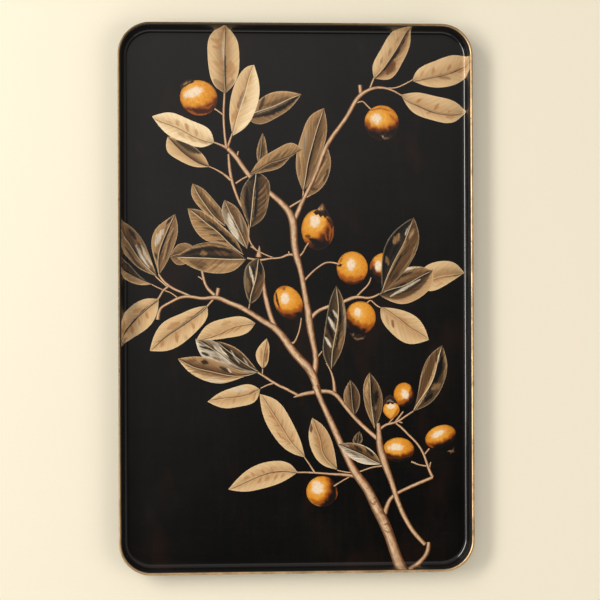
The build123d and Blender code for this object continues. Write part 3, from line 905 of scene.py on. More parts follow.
@dataclass
class Layer:
    """A flat layer of paint: drawn points, faces, and the values stored at its points."""

    spots: np.ndarray
    faces: List[Tuple[int, ...]]
    tint: np.ndarray
    vein: np.ndarray
    rib: np.ndarray
    outline: np.ndarray

    def trimmed(self, section: Section) -> "Layer":
        """Cuts off what lies past the rim."""
        reach = section.cove_seen + section.wall_seen
        limit_x = section.half_width - section.inset + reach
        limit_y = section.half_length - section.inset + reach
        if (abs(self.spots[:, 0]) < limit_x).all() and (abs(self.spots[:, 1]) < limit_y).all():
            return self
        work = bmesh.new()
        layers = [work.verts.layers.float_vector.new(n) for n in ("tint", "vein", "rib")]
        for spot, *values in zip(self.spots, self.tint, self.vein, self.rib):
            vertex = work.verts.new((spot[0], spot[1], 0))
            for layer, value in zip(layers, values):
                vertex[layer] = value
        work.verts.ensure_lookup_table()
        for face in self.faces:
            work.faces.new([work.verts[i] for i in face])
        for axis, limit in ((0, limit_x), (1, limit_y)):
            for sign in (1, -1):
                normal = [0.0, 0.0, 0.0]
                normal[axis] = float(sign)
                place = [n * limit for n in normal]
                geometry = work.verts[:] + work.edges[:] + work.faces[:]
                bmesh.ops.bisect_plane(
                    work, geom=geometry, dist=1e-4, plane_co=place, plane_no=normal, clear_outer=True
                )
        work.verts.index_update()
        spots = np.array([v.co[:2] for v in work.verts])
        stored = [np.array([v[layer][:] for v in work.verts]) for layer in layers]
        faces = [tuple(v.index for v in face.verts) for face in work.faces]
        work.free()
        return Layer(spots, faces, *stored, self.outline)

    def slab(self, name: str, section: Section, lift: float, sink: float = 0.03) -> bpy.types.Mesh:
        """Lays the layer on the tray as a closed film.

        Args:
            name: the mesh's name.
            section: the tray's section.
            lift: height of its top over the lacquer, in mm.
            sink: how far its underside sits in the lacquer, in mm.

        Returns:
            The film's mesh with its stored values.
        """
        flat = self.trimmed(section)
        count = len(flat.spots)
        first = flat.faces[0]
        ring = flat.spots[list(first)]
        turn = sum(np.cross(ring[i] - ring[i - 1], ring[(i + 1) % len(ring)] - ring[i]) for i in range(len(ring)))
        faces = flat.faces if turn > 0 else [f[::-1] for f in flat.faces]
        edges = {}
        for face in faces:
            for a, b in zip(face, face[1:] + face[:1]):
                edges[(a, b)] = True
        sides = [(a, a + count, b + count, b) for a, b in edges if (b, a) not in edges]
        top = [section.skin(x, y, lift) for x, y in flat.spots]
        under = [section.skin(x, y, -sink) for x, y in flat.spots]
        all_faces = faces + [tuple(i + count for i in f[::-1]) for f in faces] + sides
        mesh = closed_mesh(name, top + under, all_faces)
        for key, values in (("vein", flat.vein), ("rib", flat.rib)):
            store = mesh.attributes.new(key, "FLOAT_VECTOR", "POINT")
            store.data.foreach_set("vector", np.tile(values, (2, 1)).astype(np.float32).ravel())
        colours = np.ones((2 * count, 4), np.float32)
        colours[:, :3] = np.clip(np.tile(flat.tint, (2, 1)), 0, 1)
        store = mesh.color_attributes.new("tint", "FLOAT_COLOR", "POINT")
        store.data.foreach_set("color", colours.ravel())
        return mesh


class Paint(Enum):
    """The finishes of the still life."""

    PALE_LEAF = "pale_leaf_paint"
    BRONZE_LEAF = "bronze_leaf_paint"
    SHADED_LEAF = "shaded_leaf_paint"
    BOUGH = "bough_paint"
    TWIG = "twig_paint"
    FRUIT = "fruit_paint"
    CROWN = "crown_paint"


NODE_OF_PAINT = {
    Paint.PALE_LEAF: "pale_leaves",
    Paint.BRONZE_LEAF: "bronze_leaves",
    Paint.SHADED_LEAF: "shaded_leaves",
    Paint.BOUGH: "boughs",
    Paint.TWIG: "twigs",
    Paint.FRUIT: "fruits",
    Paint.CROWN: "fruit_crowns",
}
P, B, S = Paint.PALE_LEAF, Paint.BRONZE_LEAF, Paint.SHADED_LEAF
Half = Tuple[Tone, Tone]


@dataclass(frozen=True)
class Leaf:
    """A painted leaf: outline, midrib, the tones of its halves and the touches over them."""

    number: int
    paint: Paint
    base: Point
    first_edge: Tuple[Point, ...]
    second_edge: Tuple[Point, ...]
    tip: Point
    midrib: Tuple[Point, ...]
    first: Half
    second: Half
    rib: Tuple[float, float]
    vein_gap: float = 6.0
    vein_slant: float = 1.1
    rim: float = 0.22

    @property
    def name(self) -> str:
        """The piece's name."""
        return f"leaf_{self.number:02d}"

    def layer(self) -> Layer:
        """The leaf as a flat layer, with its colours and the run of its veins."""
        length = math.dist(self.base, self.tip)
        rows = max(16, int(length / 0.75))
        first = smooth_line((self.base, *self.first_edge, self.tip), rows + 1)
        second = smooth_line((self.base, *self.second_edge, self.tip), rows + 1)
        middle = smooth_line((self.base, *self.midrib, self.tip), rows + 1)
        steps = np.linspace(-1, 1, 31)
        shares = (np.sin(steps * math.pi / 2) + steps) / 2
        spots, u, v = [middle[:1]], [np.zeros(1)], [np.zeros(1)]
        for i in range(1, rows):
            edge = np.where(shares[:, None] > 0, first[i], second[i])
            spots.append(middle[i] + (edge - middle[i]) * abs(shares)[:, None])
            u.append(np.full(len(shares), i / rows))
            v.append(shares)
        spots.append(middle[-1:])
        u.append(np.ones(1))
        v.append(np.zeros(1))
        spots, u, v = np.concatenate(spots), np.concatenate(u), np.concatenate(v)
        wide = len(shares)
        faces = [(0, 1 + j, 2 + j) for j in range(wide - 1)]
        for i in range(rows - 2):
            here = 1 + i * wide
            faces += [(here + j, here + wide + j, here + wide + j + 1, here + j + 1) for j in range(wide - 1)]
        end, here = len(spots) - 1, 1 + (rows - 2) * wide
        faces += [(here + j, end, here + j + 1) for j in range(wide - 1)]
        row_of = np.round(u * rows).astype(int)
        out = np.where(v > 0, np.linalg.norm(first - middle, axis=1)[row_of],
                       np.linalg.norm(second - middle, axis=1)[row_of])
        across = v * out
        along = u * length
        phase = (along - self.vein_slant * abs(across)) / self.vein_gap + np.where(v > 0, 0.0, 0.45)
        side = eased(v, -0.06, 0.06)
        inner = blended(np.tile(rgb(self.second[0]), (len(v), 1)), rgb(self.first[0]), side)
        outer = blended(np.tile(rgb(self.second[1]), (len(v), 1)), rgb(self.first[1]), side)
        tint = blended(inner, outer, eased(abs(v), 0.1, 0.85))
        uneven = unevenness(spots)
        for mark in LEAF_MARKS.get(self.number, ()):
            tint = mark.lay(spots, tint, uneven)
        thick = out * (1 - abs(v))
        tint = blended(tint, rgb(Tone.CREAM), self.rim * (1 - eased(thick, 0.3, 1.3)) * eased(out, 1.0, 3.0))
        tint = tint * (1 - 0.35 * (1 - eased(u, 0.0, 0.16)))[:, None]
        fade = eased(u, 0.0, 0.05) * (1 - eased(u, 0.9, 1.0))
        veins = np.stack([phase, abs(v), np.full(len(v), self.number * 3.7)], 1)
        ribs = np.stack([across, self.rib[0] * fade, self.rib[1] * fade], 1)
        outline = np.concatenate([first, second[::-1]])
        return Layer(spots, faces, tint, veins, ribs, outline)


@dataclass(frozen=True)
class Stroke:
    """A length of the branch: stations of x, y and width, and touches over it."""

    name: str
    paint: Paint
    stations: Tuple[Tuple[float, float, float], ...]
    core: Tone = Tone.PEACH
    lit: Tone = Tone.STRAW
    shaded: Tone = Tone.BROWN
    marks: Tuple[Mark, ...] = ()

    def layer(self) -> Layer:
        """The stroke as a flat ribbon, lit from the upper left."""
        stations = self.stations
        length = sum(math.dist(a[:2], b[:2]) for a, b in zip(stations, stations[1:]))
        rows = max(6, int(length / 1.2))
        line = smooth_line(stations, rows + 1)
        ahead = np.gradient(line[:, :2], axis=0)
        ahead /= np.linalg.norm(ahead, axis=1)[:, None]
        left = np.stack([-ahead[:, 1], ahead[:, 0]], 1)
        shares = np.linspace(-1, 1, 13)
        half = np.maximum(line[:, 2], 0.5) / 2
        grid = line[:, None, :2] + left[:, None, :] * (half[:, None] * shares)[:, :, None]
        spots = grid.reshape(-1, 2)
        v = np.tile(shares, rows + 1)
        along = np.repeat(np.linspace(0, length, rows + 1), len(shares))
        wide = len(shares)
        faces = [
            (i * wide + j, (i + 1) * wide + j, (i + 1) * wide + j + 1, i * wide + j + 1)
            for i in range(rows) for j in range(wide - 1)
        ]
        side = left @ np.array([-0.9, 0.45])
        light = np.repeat(np.sign(side) * np.maximum(abs(side), 0.75), wide) * v
        tint = np.tile(rgb(self.core), (len(v), 1))
        uneven = unevenness(spots, 0.3)
        light = light + uneven * 0.18
        tint = blended(tint, rgb(self.lit), 0.7 * np.exp(-((light - 0.25) / 0.28) ** 2))
        tint = blended(tint, rgb(self.shaded), 0.9 * eased(-light, 0.1, 0.8))
        tint = blended(tint, rgb(Tone.RUST), 0.45 * eased(uneven, 0.1, 0.7) * eased(-light, 0.3, 0.7))
        tint = blended(tint, rgb(Tone.UMBER), 0.8 * eased(-light, 0.65, 0.95))
        tint = blended(tint, rgb(Tone.BROWN), 0.6 * eased(light, 0.6, 1.0))
        for mark in self.marks:
            tint = mark.lay(spots, tint, uneven)
        seed = (sum(map(ord, self.name)) * 1.37) % 50
        veins = np.stack([along, v, np.full(len(v), seed)], 1)
        outline = np.concatenate([grid[:, 0], grid[::-1, -1]])
        return Layer(spots, faces, tint, veins, np.zeros((len(v), 3)), outline)


@dataclass(frozen=True)
class Fruit:
    """A round fruit: outline, highlight, the way its shade falls and the touches over it."""

    number: int
    place: Point
    radii: Point
    turn: float
    light: Point
    glow: Tuple[float, float, float]
    shade: float
    onset: Tuple[float, float, float]
    marks: Tuple[Mark, ...] = ()
    pointed: float = 0.0

    @property
    def name(self) -> str:
        """The piece's name."""
        return f"fruit_{self.number:02d}"

    def layer(self) -> Layer:
        """The fruit as a flat disc, shaded round with scalloped edges between its tones."""
        rings, around = 22, 84
        angle = np.linspace(0, 2 * math.pi, around, endpoint=False)
        r = np.concatenate([[0.0], np.repeat(np.arange(1, rings + 1) / rings, around)])
        a = np.concatenate([[0.0], np.tile(angle, rings)])
        flat = np.stack([r * np.cos(a), r * np.sin(a)], 1)
        flat[:, 0] *= 1 - self.pointed * np.clip(-flat[:, 1], 0, 1) ** 1.5
        turn = math.radians(self.turn)
        spin = np.array([[math.cos(turn), math.sin(turn)], [-math.sin(turn), math.cos(turn)]])
        place = np.array(self.place)
        spots = place + (flat * np.array(self.radii)) @ spin
        faces: List[Tuple[int, ...]] = [(0, 1 + j, 1 + (j + 1) % around) for j in range(around)]
        for i in range(rings - 1):
            here, there = 1 + i * around, 1 + (i + 1) * around
            faces += [
                (here + j, there + j, there + (j + 1) % around, here + (j + 1) % around)
                for j in range(around)
            ]
        uneven = unevenness(spots, 0.4)
        ball = flat @ spin
        way = np.array([math.cos(math.radians(self.shade)), math.sin(math.radians(self.shade))])
        from_lit = ball + way
        heading = np.arctan2(from_lit[:, 1], from_lit[:, 0])
        scallop = 0.07 * abs(np.sin(heading * 9 + self.number)) + 0.045 * uneven
        fall = np.linalg.norm(from_lit, axis=1) + scallop
        size = float(np.mean(self.radii))
        away = np.linalg.norm(spots - np.array(self.light), axis=1) / size
        tint = np.tile(rgb(Tone.ORANGE), (len(spots), 1))
        tint = blended(tint, rgb(Tone.AMBER), 0.8 * (1 - eased(away + 0.1 * uneven, 0.3, 0.8)))
        rust, maroon, black = self.onset
        tint = blended(tint, rgb(Tone.RUST), 0.45 * eased(away + 0.05 * uneven, 0.7, 1.3))
        tint = blended(tint, rgb(Tone.RUST), 0.9 * eased(fall, rust - 0.14, rust + 0.1))
        tint = blended(tint, rgb(Tone.MAROON), 0.9 * eased(fall, maroon - 0.12, maroon + 0.06))
        tint = blended(tint, rgb(Tone.BLACK), 0.97 * eased(fall, black - 0.08, black + 0.06))
        tint = blended(tint, rgb(Tone.MAROON), 0.45 * eased(r + 0.03 * uneven, 0.9, 1.0))
        glow_turn = math.radians(self.glow[2])
        reach = (spots - np.array(self.light)) @ np.array(
            [[math.cos(glow_turn), -math.sin(glow_turn)], [math.sin(glow_turn), math.cos(glow_turn)]]
        ) / np.array(self.glow[:2])
        edge = np.linalg.norm(reach, axis=1) + 0.16 * uneven
        tint = blended(tint, rgb(Tone.GLOW), 1 - eased(edge, 0.6, 1.25))
        for mark in self.marks:
            tint = mark.lay(spots, tint, uneven)
        veins = np.stack([fall * 3, heading * 2, np.full(len(r), self.number * 5.3)], 1)
        return Layer(spots, faces, tint, veins, np.zeros((len(r), 3)), spots[-around:])


@dataclass(frozen=True)
class Crown:
    """The dry calyx at a fruit's eye: its ragged outline and the touches over it."""

    number: int
    rim: Tuple[Point, ...]
    marks: Tuple[Mark, ...] = ()

    @property
    def name(self) -> str:
        """The piece's name."""
        return f"crown_{self.number:02d}"

    def layer(self) -> Layer:
        """The crown as a flat ragged patch."""
        corners = np.array(self.rim, float)
        halves = (corners + np.roll(corners, -1, axis=0)) / 2
        rim = np.stack([corners, halves], 1).reshape(-1, 2)
        middle = corners.mean(axis=0)
        count, levels = len(rim), 5
        rings = [middle + (rim - middle) * k / levels for k in range(1, levels + 1)]
        spots = np.concatenate([middle[None], *rings])
        faces: List[Tuple[int, ...]] = [(0, 1 + j, 1 + (j + 1) % count) for j in range(count)]
        for k in range(levels - 1):
            here, there = 1 + k * count, 1 + (k + 1) * count
            faces += [
                (here + j, there + j, there + (j + 1) % count, here + (j + 1) % count) for j in range(count)
            ]
        out = np.concatenate([[0.0], np.repeat(np.arange(1, levels + 1) / levels, count)])
        uneven = unevenness(spots, 0.8)
        tint = blended(np.tile(rgb(Tone.BLACK), (len(out), 1)), rgb(Tone.DARK), eased(out + 0.2 * uneven, 0.5, 1))
        for mark in self.marks:
            tint = mark.lay(spots, tint, uneven)
        angle = np.arctan2(*(spots - middle).T[::-1])
        veins = np.stack([out * 4, angle, np.full(len(out), self.number * 2.9)], 1)
        return Layer(spots, faces, tint, veins, np.zeros((len(out), 3)), rim)


def m(tone: Tone, strength: float, width: float, *path: Point) -> Mark:
    """A touch of the brush, written short."""
    return Mark(tone, strength, width, path)


T = Tone
LEAVES_IN_FRONT: Tuple[Leaf, ...] = (
    Leaf(7, B, (-41, 108.5), ((-31, 122.5), (-17, 131.5), (-2, 136.7)),
         ((-25, 111.5), (-13, 115.5), (-5, 123.5)), (6, 131),
         ((-30, 114.5), (-22, 119), (-15, 121), (-8, 123.5), (0, 127.5)),
         (T.BRONZE, T.TAN), (T.UMBER, T.BRONZE), (0.2, 0.7)),
    Leaf(8, S, (-40.5, 61.5), ((-45.5, 73), (-49, 86), (-46, 99)),
         ((-29, 70), (-23.8, 86), (-24.3, 104)), (-35, 112),
         ((-39, 75), (-38, 85), (-37, 95), (-35.5, 105)),
         (T.DARK, T.OLIVE), (T.DARK, T.UMBER), (0.7, -0.8)),
    Leaf(9, B, (6.5, 94), ((1, 110), (0.5, 124), (6, 146), (14, 161.5)),
         ((14, 104), (23, 127), (28, 148)), (25.5, 168),
         ((9, 108), (11, 120), (14, 132), (18, 146), (21.5, 157)),
         (T.BRONZE, T.TAN), (T.UMBER, T.BRONZE), (0.6, -0.7), 9, 3.0),
    Leaf(18, B, (-44, 34), ((-55, 24), (-70, 21.5), (-90, 26)),
         ((-55, 43), (-74, 49), (-92, 45.5)), (-106, 36),
         ((-60, 34), (-80, 35), (-95, 35.5)),
         (T.BRONZE, T.TAN), (T.DARK, T.UMBER), (0.7, -0.7)),
    Leaf(19, B, (-46, 37.5), ((-63, 46), (-80, 51), (-91, 63.5)),
         ((-54, 53), (-68, 66), (-82, 76.5)), (-95.5, 79),
         ((-60, 49), (-70, 59), (-78, 65), (-85, 71)),
         (T.BRONZE, T.TAN), (T.UMBER, T.BRONZE), (0.6, -0.6)),
    Leaf(21, B, (-43, 43), ((-52, 51), (-61, 64), (-65.5, 77)),
         ((-41.5, 56), (-46, 70), (-54, 81.5)), (-63, 86.5),
         ((-48, 55), (-54, 67), (-59, 77)),
         (T.BRONZE, T.GREY), (T.UMBER, T.BRONZE), (0.5, 0.5), 9, 3.0),
    Leaf(14, B, (-122.5, 19), ((-138, 26), (-152, 41), (-159, 54)),
         ((-128, 35), (-135, 51), (-146, 63.5)), (-162, 72),
         ((-137, 33), (-147, 48), (-155, 60)),
         (T.BRONZE, T.TAN), (T.UMBER, T.BRONZE), (0.5, -0.6), 9, 3.0),
    Leaf(16, B, (-121, 20), ((-124.5, 33), (-127.3, 46), (-124, 60), (-114, 69)),
         ((-115, 29), (-108, 44), (-104, 60)), (-106.5, 74),
         ((-121.5, 35), (-119, 46), (-115, 56), (-111, 65)),
         (T.BRONZE, T.TAN), (T.UMBER, T.BRONZE), (0.5, -0.7), 9, 3.0),
    Leaf(2, P, (-55.5, 143), ((-58.3, 160), (-57, 177), (-50, 196), (-42, 204.5)),
         ((-44, 151), (-36, 164), (-31.7, 186)), (-36.5, 206),
         ((-52, 157), (-48, 170), (-44, 182), (-41.5, 192)),
         (T.SAND, T.PALE), (T.PALE, T.CREAM), (0.7, 0.4)),
    Leaf(1, P, (-62, 180.5), ((-71, 187), (-76, 200), (-77.5, 217), (-75, 232)),
         ((-54, 189), (-49.8, 202), (-49.5, 214), (-52, 229)), (-62, 240.5),
         ((-63, 200), (-63, 215), (-62.5, 228)),
         (T.TAN, T.PALE), (T.TAN, T.PALE), (0.4, -0.7)),
    Leaf(4, P, (-72, 137), ((-82, 133), (-98, 137), (-112, 143.5)),
         ((-75, 147), (-92, 156.5), (-111, 163.5)), (-126.5, 160),
         ((-80, 139), (-90, 143), (-100, 148.5), (-110, 153), (-120, 156.5)),
         (T.PALE, T.CREAM), (T.PALE, T.CREAM), (0.2, 0.6)),
    Leaf(11, P, (70, 194.5), ((68.7, 204), (76, 220), (87, 236)),
         ((84, 194), (95, 208), (102, 224)), (102.5, 240.5),
         ((78, 203), (85, 213), (92, 224), (97, 233)),
         (T.SAND, T.PALE), (T.BROWN, T.SAND), (0.5, -0.8)),
    Leaf(12, P, (104, 192.5), ((108, 201), (124, 210), (142, 215.5)),
         ((118, 187.5), (133, 187), (149, 193)), (160, 211),
         ((115, 194.5), (125, 196.5), (135, 199), (145, 203)),
         (T.SAND, T.PALE), (T.SAND, T.PALE), (0.3, -0.6)),
    Leaf(13, P, (94, 180), ((108, 182), (125, 178.8), (143, 173.5)),
         ((104, 165), (122, 157.5), (141, 155.8)), (152, 165),
         ((100, 175), (110, 170.5), (120, 166), (130, 163.5), (140, 162.8)),
         (T.SAND, T.PALE), (T.SAND, T.PALE), (0.3, -0.6)),
    Leaf(22, S, (-41, -6), ((-44.5, 4), (-46.3, 17), (-43, 29)),
         ((-34, -1), (-29, 9), (-28, 24)), (-33, 36),
         ((-40, 2), (-37, 12), (-35, 20), (-34, 28)),
         (T.DARK, T.OLIVE), (T.DARK, T.UMBER), (0.6, -0.6), 9, 3.0),
    Leaf(23, P, (-121, -1), ((-122, -11), (-129, -24.5), (-142, -34)),
         ((-131, -0.5), (-143, -5.5), (-152.5, -16)), (-160, -46),
         ((-128, -6), (-135, -12), (-142, -18), (-148, -25)),
         (T.SAND, T.PALE), (T.SAND, T.PALE), (0.3, 0.8)),
    Leaf(24, P, (-78.5, -7), ((-78, -15), (-86, -27.5), (-98, -38.5), (-112, -46)),
         ((-88, -8.5), (-103, -14.5), (-117, -21.5), (-125.5, -34)), (-129, -46.5),
         ((-85, -13), (-92, -18), (-100, -23.5), (-110, -30), (-118, -36)),
         (T.SAND, T.PALE), (T.SAND, T.PALE), (0.3, 0.8)),
    Leaf(25, P, (-36, -22.5), ((-42, -30), (-58, -35), (-74, -37)),
         ((-45, -17.3), (-62, -18), (-79, -24.5)), (-88, -37),
         ((-45, -23.5), (-55, -25.5), (-65, -30), (-75, -34)),
         (T.SAND, T.PALE), (T.SAND, T.PALE), (0.3, 0.5)),
    Leaf(27, S, (-33, -65.5), ((-48, -63), (-60, -54), (-67, -45)),
         ((-40, -57), (-50, -46.5), (-60, -41)), (-71, -38),
         ((-45, -58.5), (-55, -51), (-64, -44)),
         (T.OLIVE, T.DARK), (T.DARK, T.UMBER), (0.5, 0.6), 9, 3.0),
    Leaf(28, S, (-36, -67), ((-48, -70.5), (-66, -75.5), (-83, -72), (-97, -63)),
         ((-50, -64), (-66, -57.5), (-85, -51.8)), (-104.5, -53.5),
         ((-50, -69.2), (-60, -68.5), (-70, -66.3), (-80, -64), (-88, -62), (-95, -59)),
         (T.BRONZE, T.PALE), (T.UMBER, T.TAN), (0.5, -0.6), 9, 3.0),
    Leaf(26, S, (-34, -66), ((-52, -68), (-72, -60), (-85, -49)),
         ((-52, -56), (-66, -43), (-78, -36)), (-89, -36),
         ((-52, -61), (-66, -51), (-79, -42)),
         (T.GREY, T.CHALK), (T.UMBER, T.GREY), (0.5, -0.6), 9, 3.0),
    Leaf(29, P, (-29.5, -63), ((-34, -57), (-35.7, -50), (-32, -42)),
         ((-26, -59), (-24, -50), (-24, -42)), (-26, -36),
         ((-29.5, -56), (-29, -50), (-27.5, -43)),
         (T.SAND, T.PALE), (T.TAN, T.SAND), (0.3, -0.5)),
    Leaf(30, P, (-32, -81), ((-36, -91), (-50, -96), (-64, -97.3)),
         ((-40, -76.8), (-54, -78.7), (-68, -84)), (-78.5, -91.5),
         ((-40, -85), (-48, -87.5), (-56, -88.5), (-66, -89.5)),
         (T.SAND, T.PALE), (T.SAND, T.PALE), (0.3, -0.5)),
    Leaf(31, P, (7.5, -141.5), ((-6, -136.5), (-20, -122.5), (-30, -102)),
         ((4, -128), (-5, -108), (-18, -90.5)), (-32.5, -85),
         ((-5, -128), (-12, -117), (-18, -107), (-25, -96)),
         (T.SAND, T.PALE), (T.SAND, T.PALE), (0.4, -0.5)),
    Leaf(32, P, (36, -152.5), ((23, -148), (13, -134), (11, -118)),
         ((34.3, -140), (30, -124), (21.5, -111.5)), (14, -106.5),
         ((28, -145), (22.5, -136), (21, -127), (18, -118)),
         (T.TAN, T.PALE), (T.TAN, T.SAND), (0.4, -0.5)),
    Leaf(33, P, (1, -154.5), ((-12, -162.5), (-30, -168.5), (-48, -171)),
         ((-6, -147), (-22, -144.5), (-44, -152.5)), (-60.5, -169),
         ((-8, -153), (-17, -153), (-27, -155), (-38, -159), (-47, -163)),
         (T.SAND, T.PALE), (T.SAND, T.PALE), (0.3, 0.6)),
    Leaf(34, S, (76, 3), ((76, 24), (79, 45), (89, 60)),
         ((90, 16), (104, 34), (109.7, 54)), (105, 71.3),
         ((79, 13), (84, 25), (90, 37), (96, 48), (100, 58)),
         (T.DARK, T.BLACK), (T.UMBER, T.UMBER), (0.5, 0.6), 9, 3.0),
    Leaf(35, S, (73, 2), ((85, 16), (98, 26), (112, 27)),
         ((90, -2.5), (105, 3), (117, 14.5)), (121.5, 23.5),
         ((84, 7), (95, 10), (110, 18)),
         (T.UMBER, T.BRONZE), (T.DARK, T.UMBER), (0.5, -0.6), 9, 3.0),
    Leaf(38, P, (75, -8.5), ((90, -10.5), (109, -19.5), (115.5, -30)),
         ((75.5, -18), (84, -31), (100, -41.3)), (118, -38),
         ((85, -15), (92, -20), (100, -26.5), (108, -31.5)),
         (T.SAND, T.PALE), (T.SAND, T.PALE), (0.3, 0.5)),
    Leaf(39, S, (31, -64), ((24.5, -53), (24, -38), (27, -17), (30.5, -1)),
         ((40, -48), (44.2, -29), (43.5, -9), (40, 3)), (35.5, 11),
         ((32.5, -45), (35, -32), (37, -20), (37.5, -8), (36.5, 2)),
         (T.OLIVE, T.DARK), (T.DARK, T.UMBER), (0.6, -0.6), 9, 3.0),
    Leaf(41, S, (69.5, -117), ((62, -100), (59.3, -84), (61.5, -72)),
         ((74.5, -105), (76.7, -90), (71, -74)), (65, -66.5),
         ((67, -100), (66, -90), (65.5, -80)),
         (T.BRONZE, T.BRONZE), (T.DARK, T.UMBER), (0.5, -0.6), 9, 3.0),
    Leaf(42, S, (103.5, -101.5), ((107.5, -88), (110.5, -71), (119, -51.5)),
         ((118, -95), (131, -77), (134.3, -59)), (130, -42.5),
         ((110, -91), (116, -83), (121, -74), (124, -65), (126, -56)),
         (T.UMBER, T.UMBER), (T.DARK, T.OLIVE), (0.8, -0.7), 9, 3.0),
    Leaf(43, S, (75, -148), ((62, -148), (47, -141.5)),
         ((71, -140), (57, -130.3), (45, -128.7)), (36.5, -130),
         ((68, -145), (60, -140.5), (50, -136)),
         (T.GREY, T.CHALK), (T.UMBER, T.BRONZE), (0.5, -0.5), 9, 3.0),
)
LEAVES_BEHIND: Tuple[Leaf, ...] = (
    Leaf(20, B, (-62, 63), ((-75, 71), (-87, 82), (-92.3, 93)),
         ((-64, 75), (-72, 86), (-82, 96.5)), (-91, 101),
         ((-75, 75), (-80, 82), (-86, 91)),
         (T.BRONZE, T.TAN), (T.UMBER, T.BRONZE), (0.5, -0.6)),
    Leaf(5, P, (-76, 115.5), ((-88, 115.5), (-104, 122), (-113.5, 130)),
         ((-80, 124), (-90, 134), (-103, 142)), (-113, 142),
         ((-84, 117.5), (-92, 122), (-100, 128), (-106, 134)),
         (T.SAND, T.PALE), (T.UMBER, T.SAND), (0.2, -0.6)),
    Leaf(3, B, (-44, 159), ((-33, 174), (-22, 181), (-8, 182.7)),
         ((-34, 153.5), (-18, 158.5), (-4, 168)), (5.5, 180),
         ((-37, 163), (-20, 169), (-5, 176)),
         (T.BRONZE, T.TAN), (T.UMBER, T.BRONZE), (0.6, -0.8)),
    Leaf(6, B, (-32.5, 117), ((-34.5, 127), (-32, 139)),
         ((-26, 120), (-25.3, 131), (-27, 141)), (-29.2, 146),
         ((-31, 130), (-29.8, 140)),
         (T.UMBER, T.BRONZE), (T.UMBER, T.BRONZE), (0.3, -0.5)),
    Leaf(10, B, (8, 88), ((10, 98), (16, 114), (24, 130)),
         ((21, 95), (30, 110), (31, 124)), (27.5, 135),
         ((15, 107), (20, 118), (25, 129)),
         (T.UMBER, T.BRONZE), (T.UMBER, T.BRONZE), (0.5, -0.6), 9, 3.0),
    Leaf(15, B, (-127, 12), ((-137, 11.5), (-150, 16.5)),
         ((-138, 20), (-148, 31)), (-162, 40),
         ((-137, 16), (-145, 20), (-154, 26)),
         (T.TAN, T.SAND), (T.DARK, T.UMBER), (0.3, -0.6)),
    Leaf(17, B, (-88, 41), ((-96, 31), (-104, 29)),
         ((-93, 47), (-103, 47.5)), (-111, 36),
         ((-96, 39), (-104, 38.5)),
         (T.UMBER, T.BRONZE), (T.UMBER, T.BRONZE), (0.3, -0.5)),
    Leaf(36, P, (76, 0.5), ((90, 10), (106, 18)),
         ((94, -6), (110, -0.5), (121, 11)), (122, 25),
         ((92, 2), (106, 8)),
         (T.BROWN, T.SAND), (T.TAN, T.SAND), (0.2, -0.3)),
    Leaf(37, P, (106, 12), ((115, 27), (129, 32), (141, 30.5)),
         ((119, 5.5), (133, 10.5)), (150, 21.5),
         ((115, 14), (130, 18.5), (140, 19.8)),
         (T.TAN, T.PALE), (T.SAND, T.PALE), (0.4, -0.4)),
    Leaf(40, S, (51.5, -105), ((43.5, -95), (42, -85)),
         ((55.5, -97), (55.5, -84)), (48, -73),
         ((50, -98), (49, -88)),
         (T.UMBER, T.BRONZE), (T.DARK, T.UMBER), (0.3, -0.7), 9, 3.0),
    Leaf(44, S, (54, -131), ((50, -128), (52, -122)),
         ((58, -128), (57.5, -121)), (56, -118.5),
         ((54.5, -127), (55, -123)),
         (T.DARK, T.OLIVE), (T.DARK, T.OLIVE), (0.2, -0.3)),
)
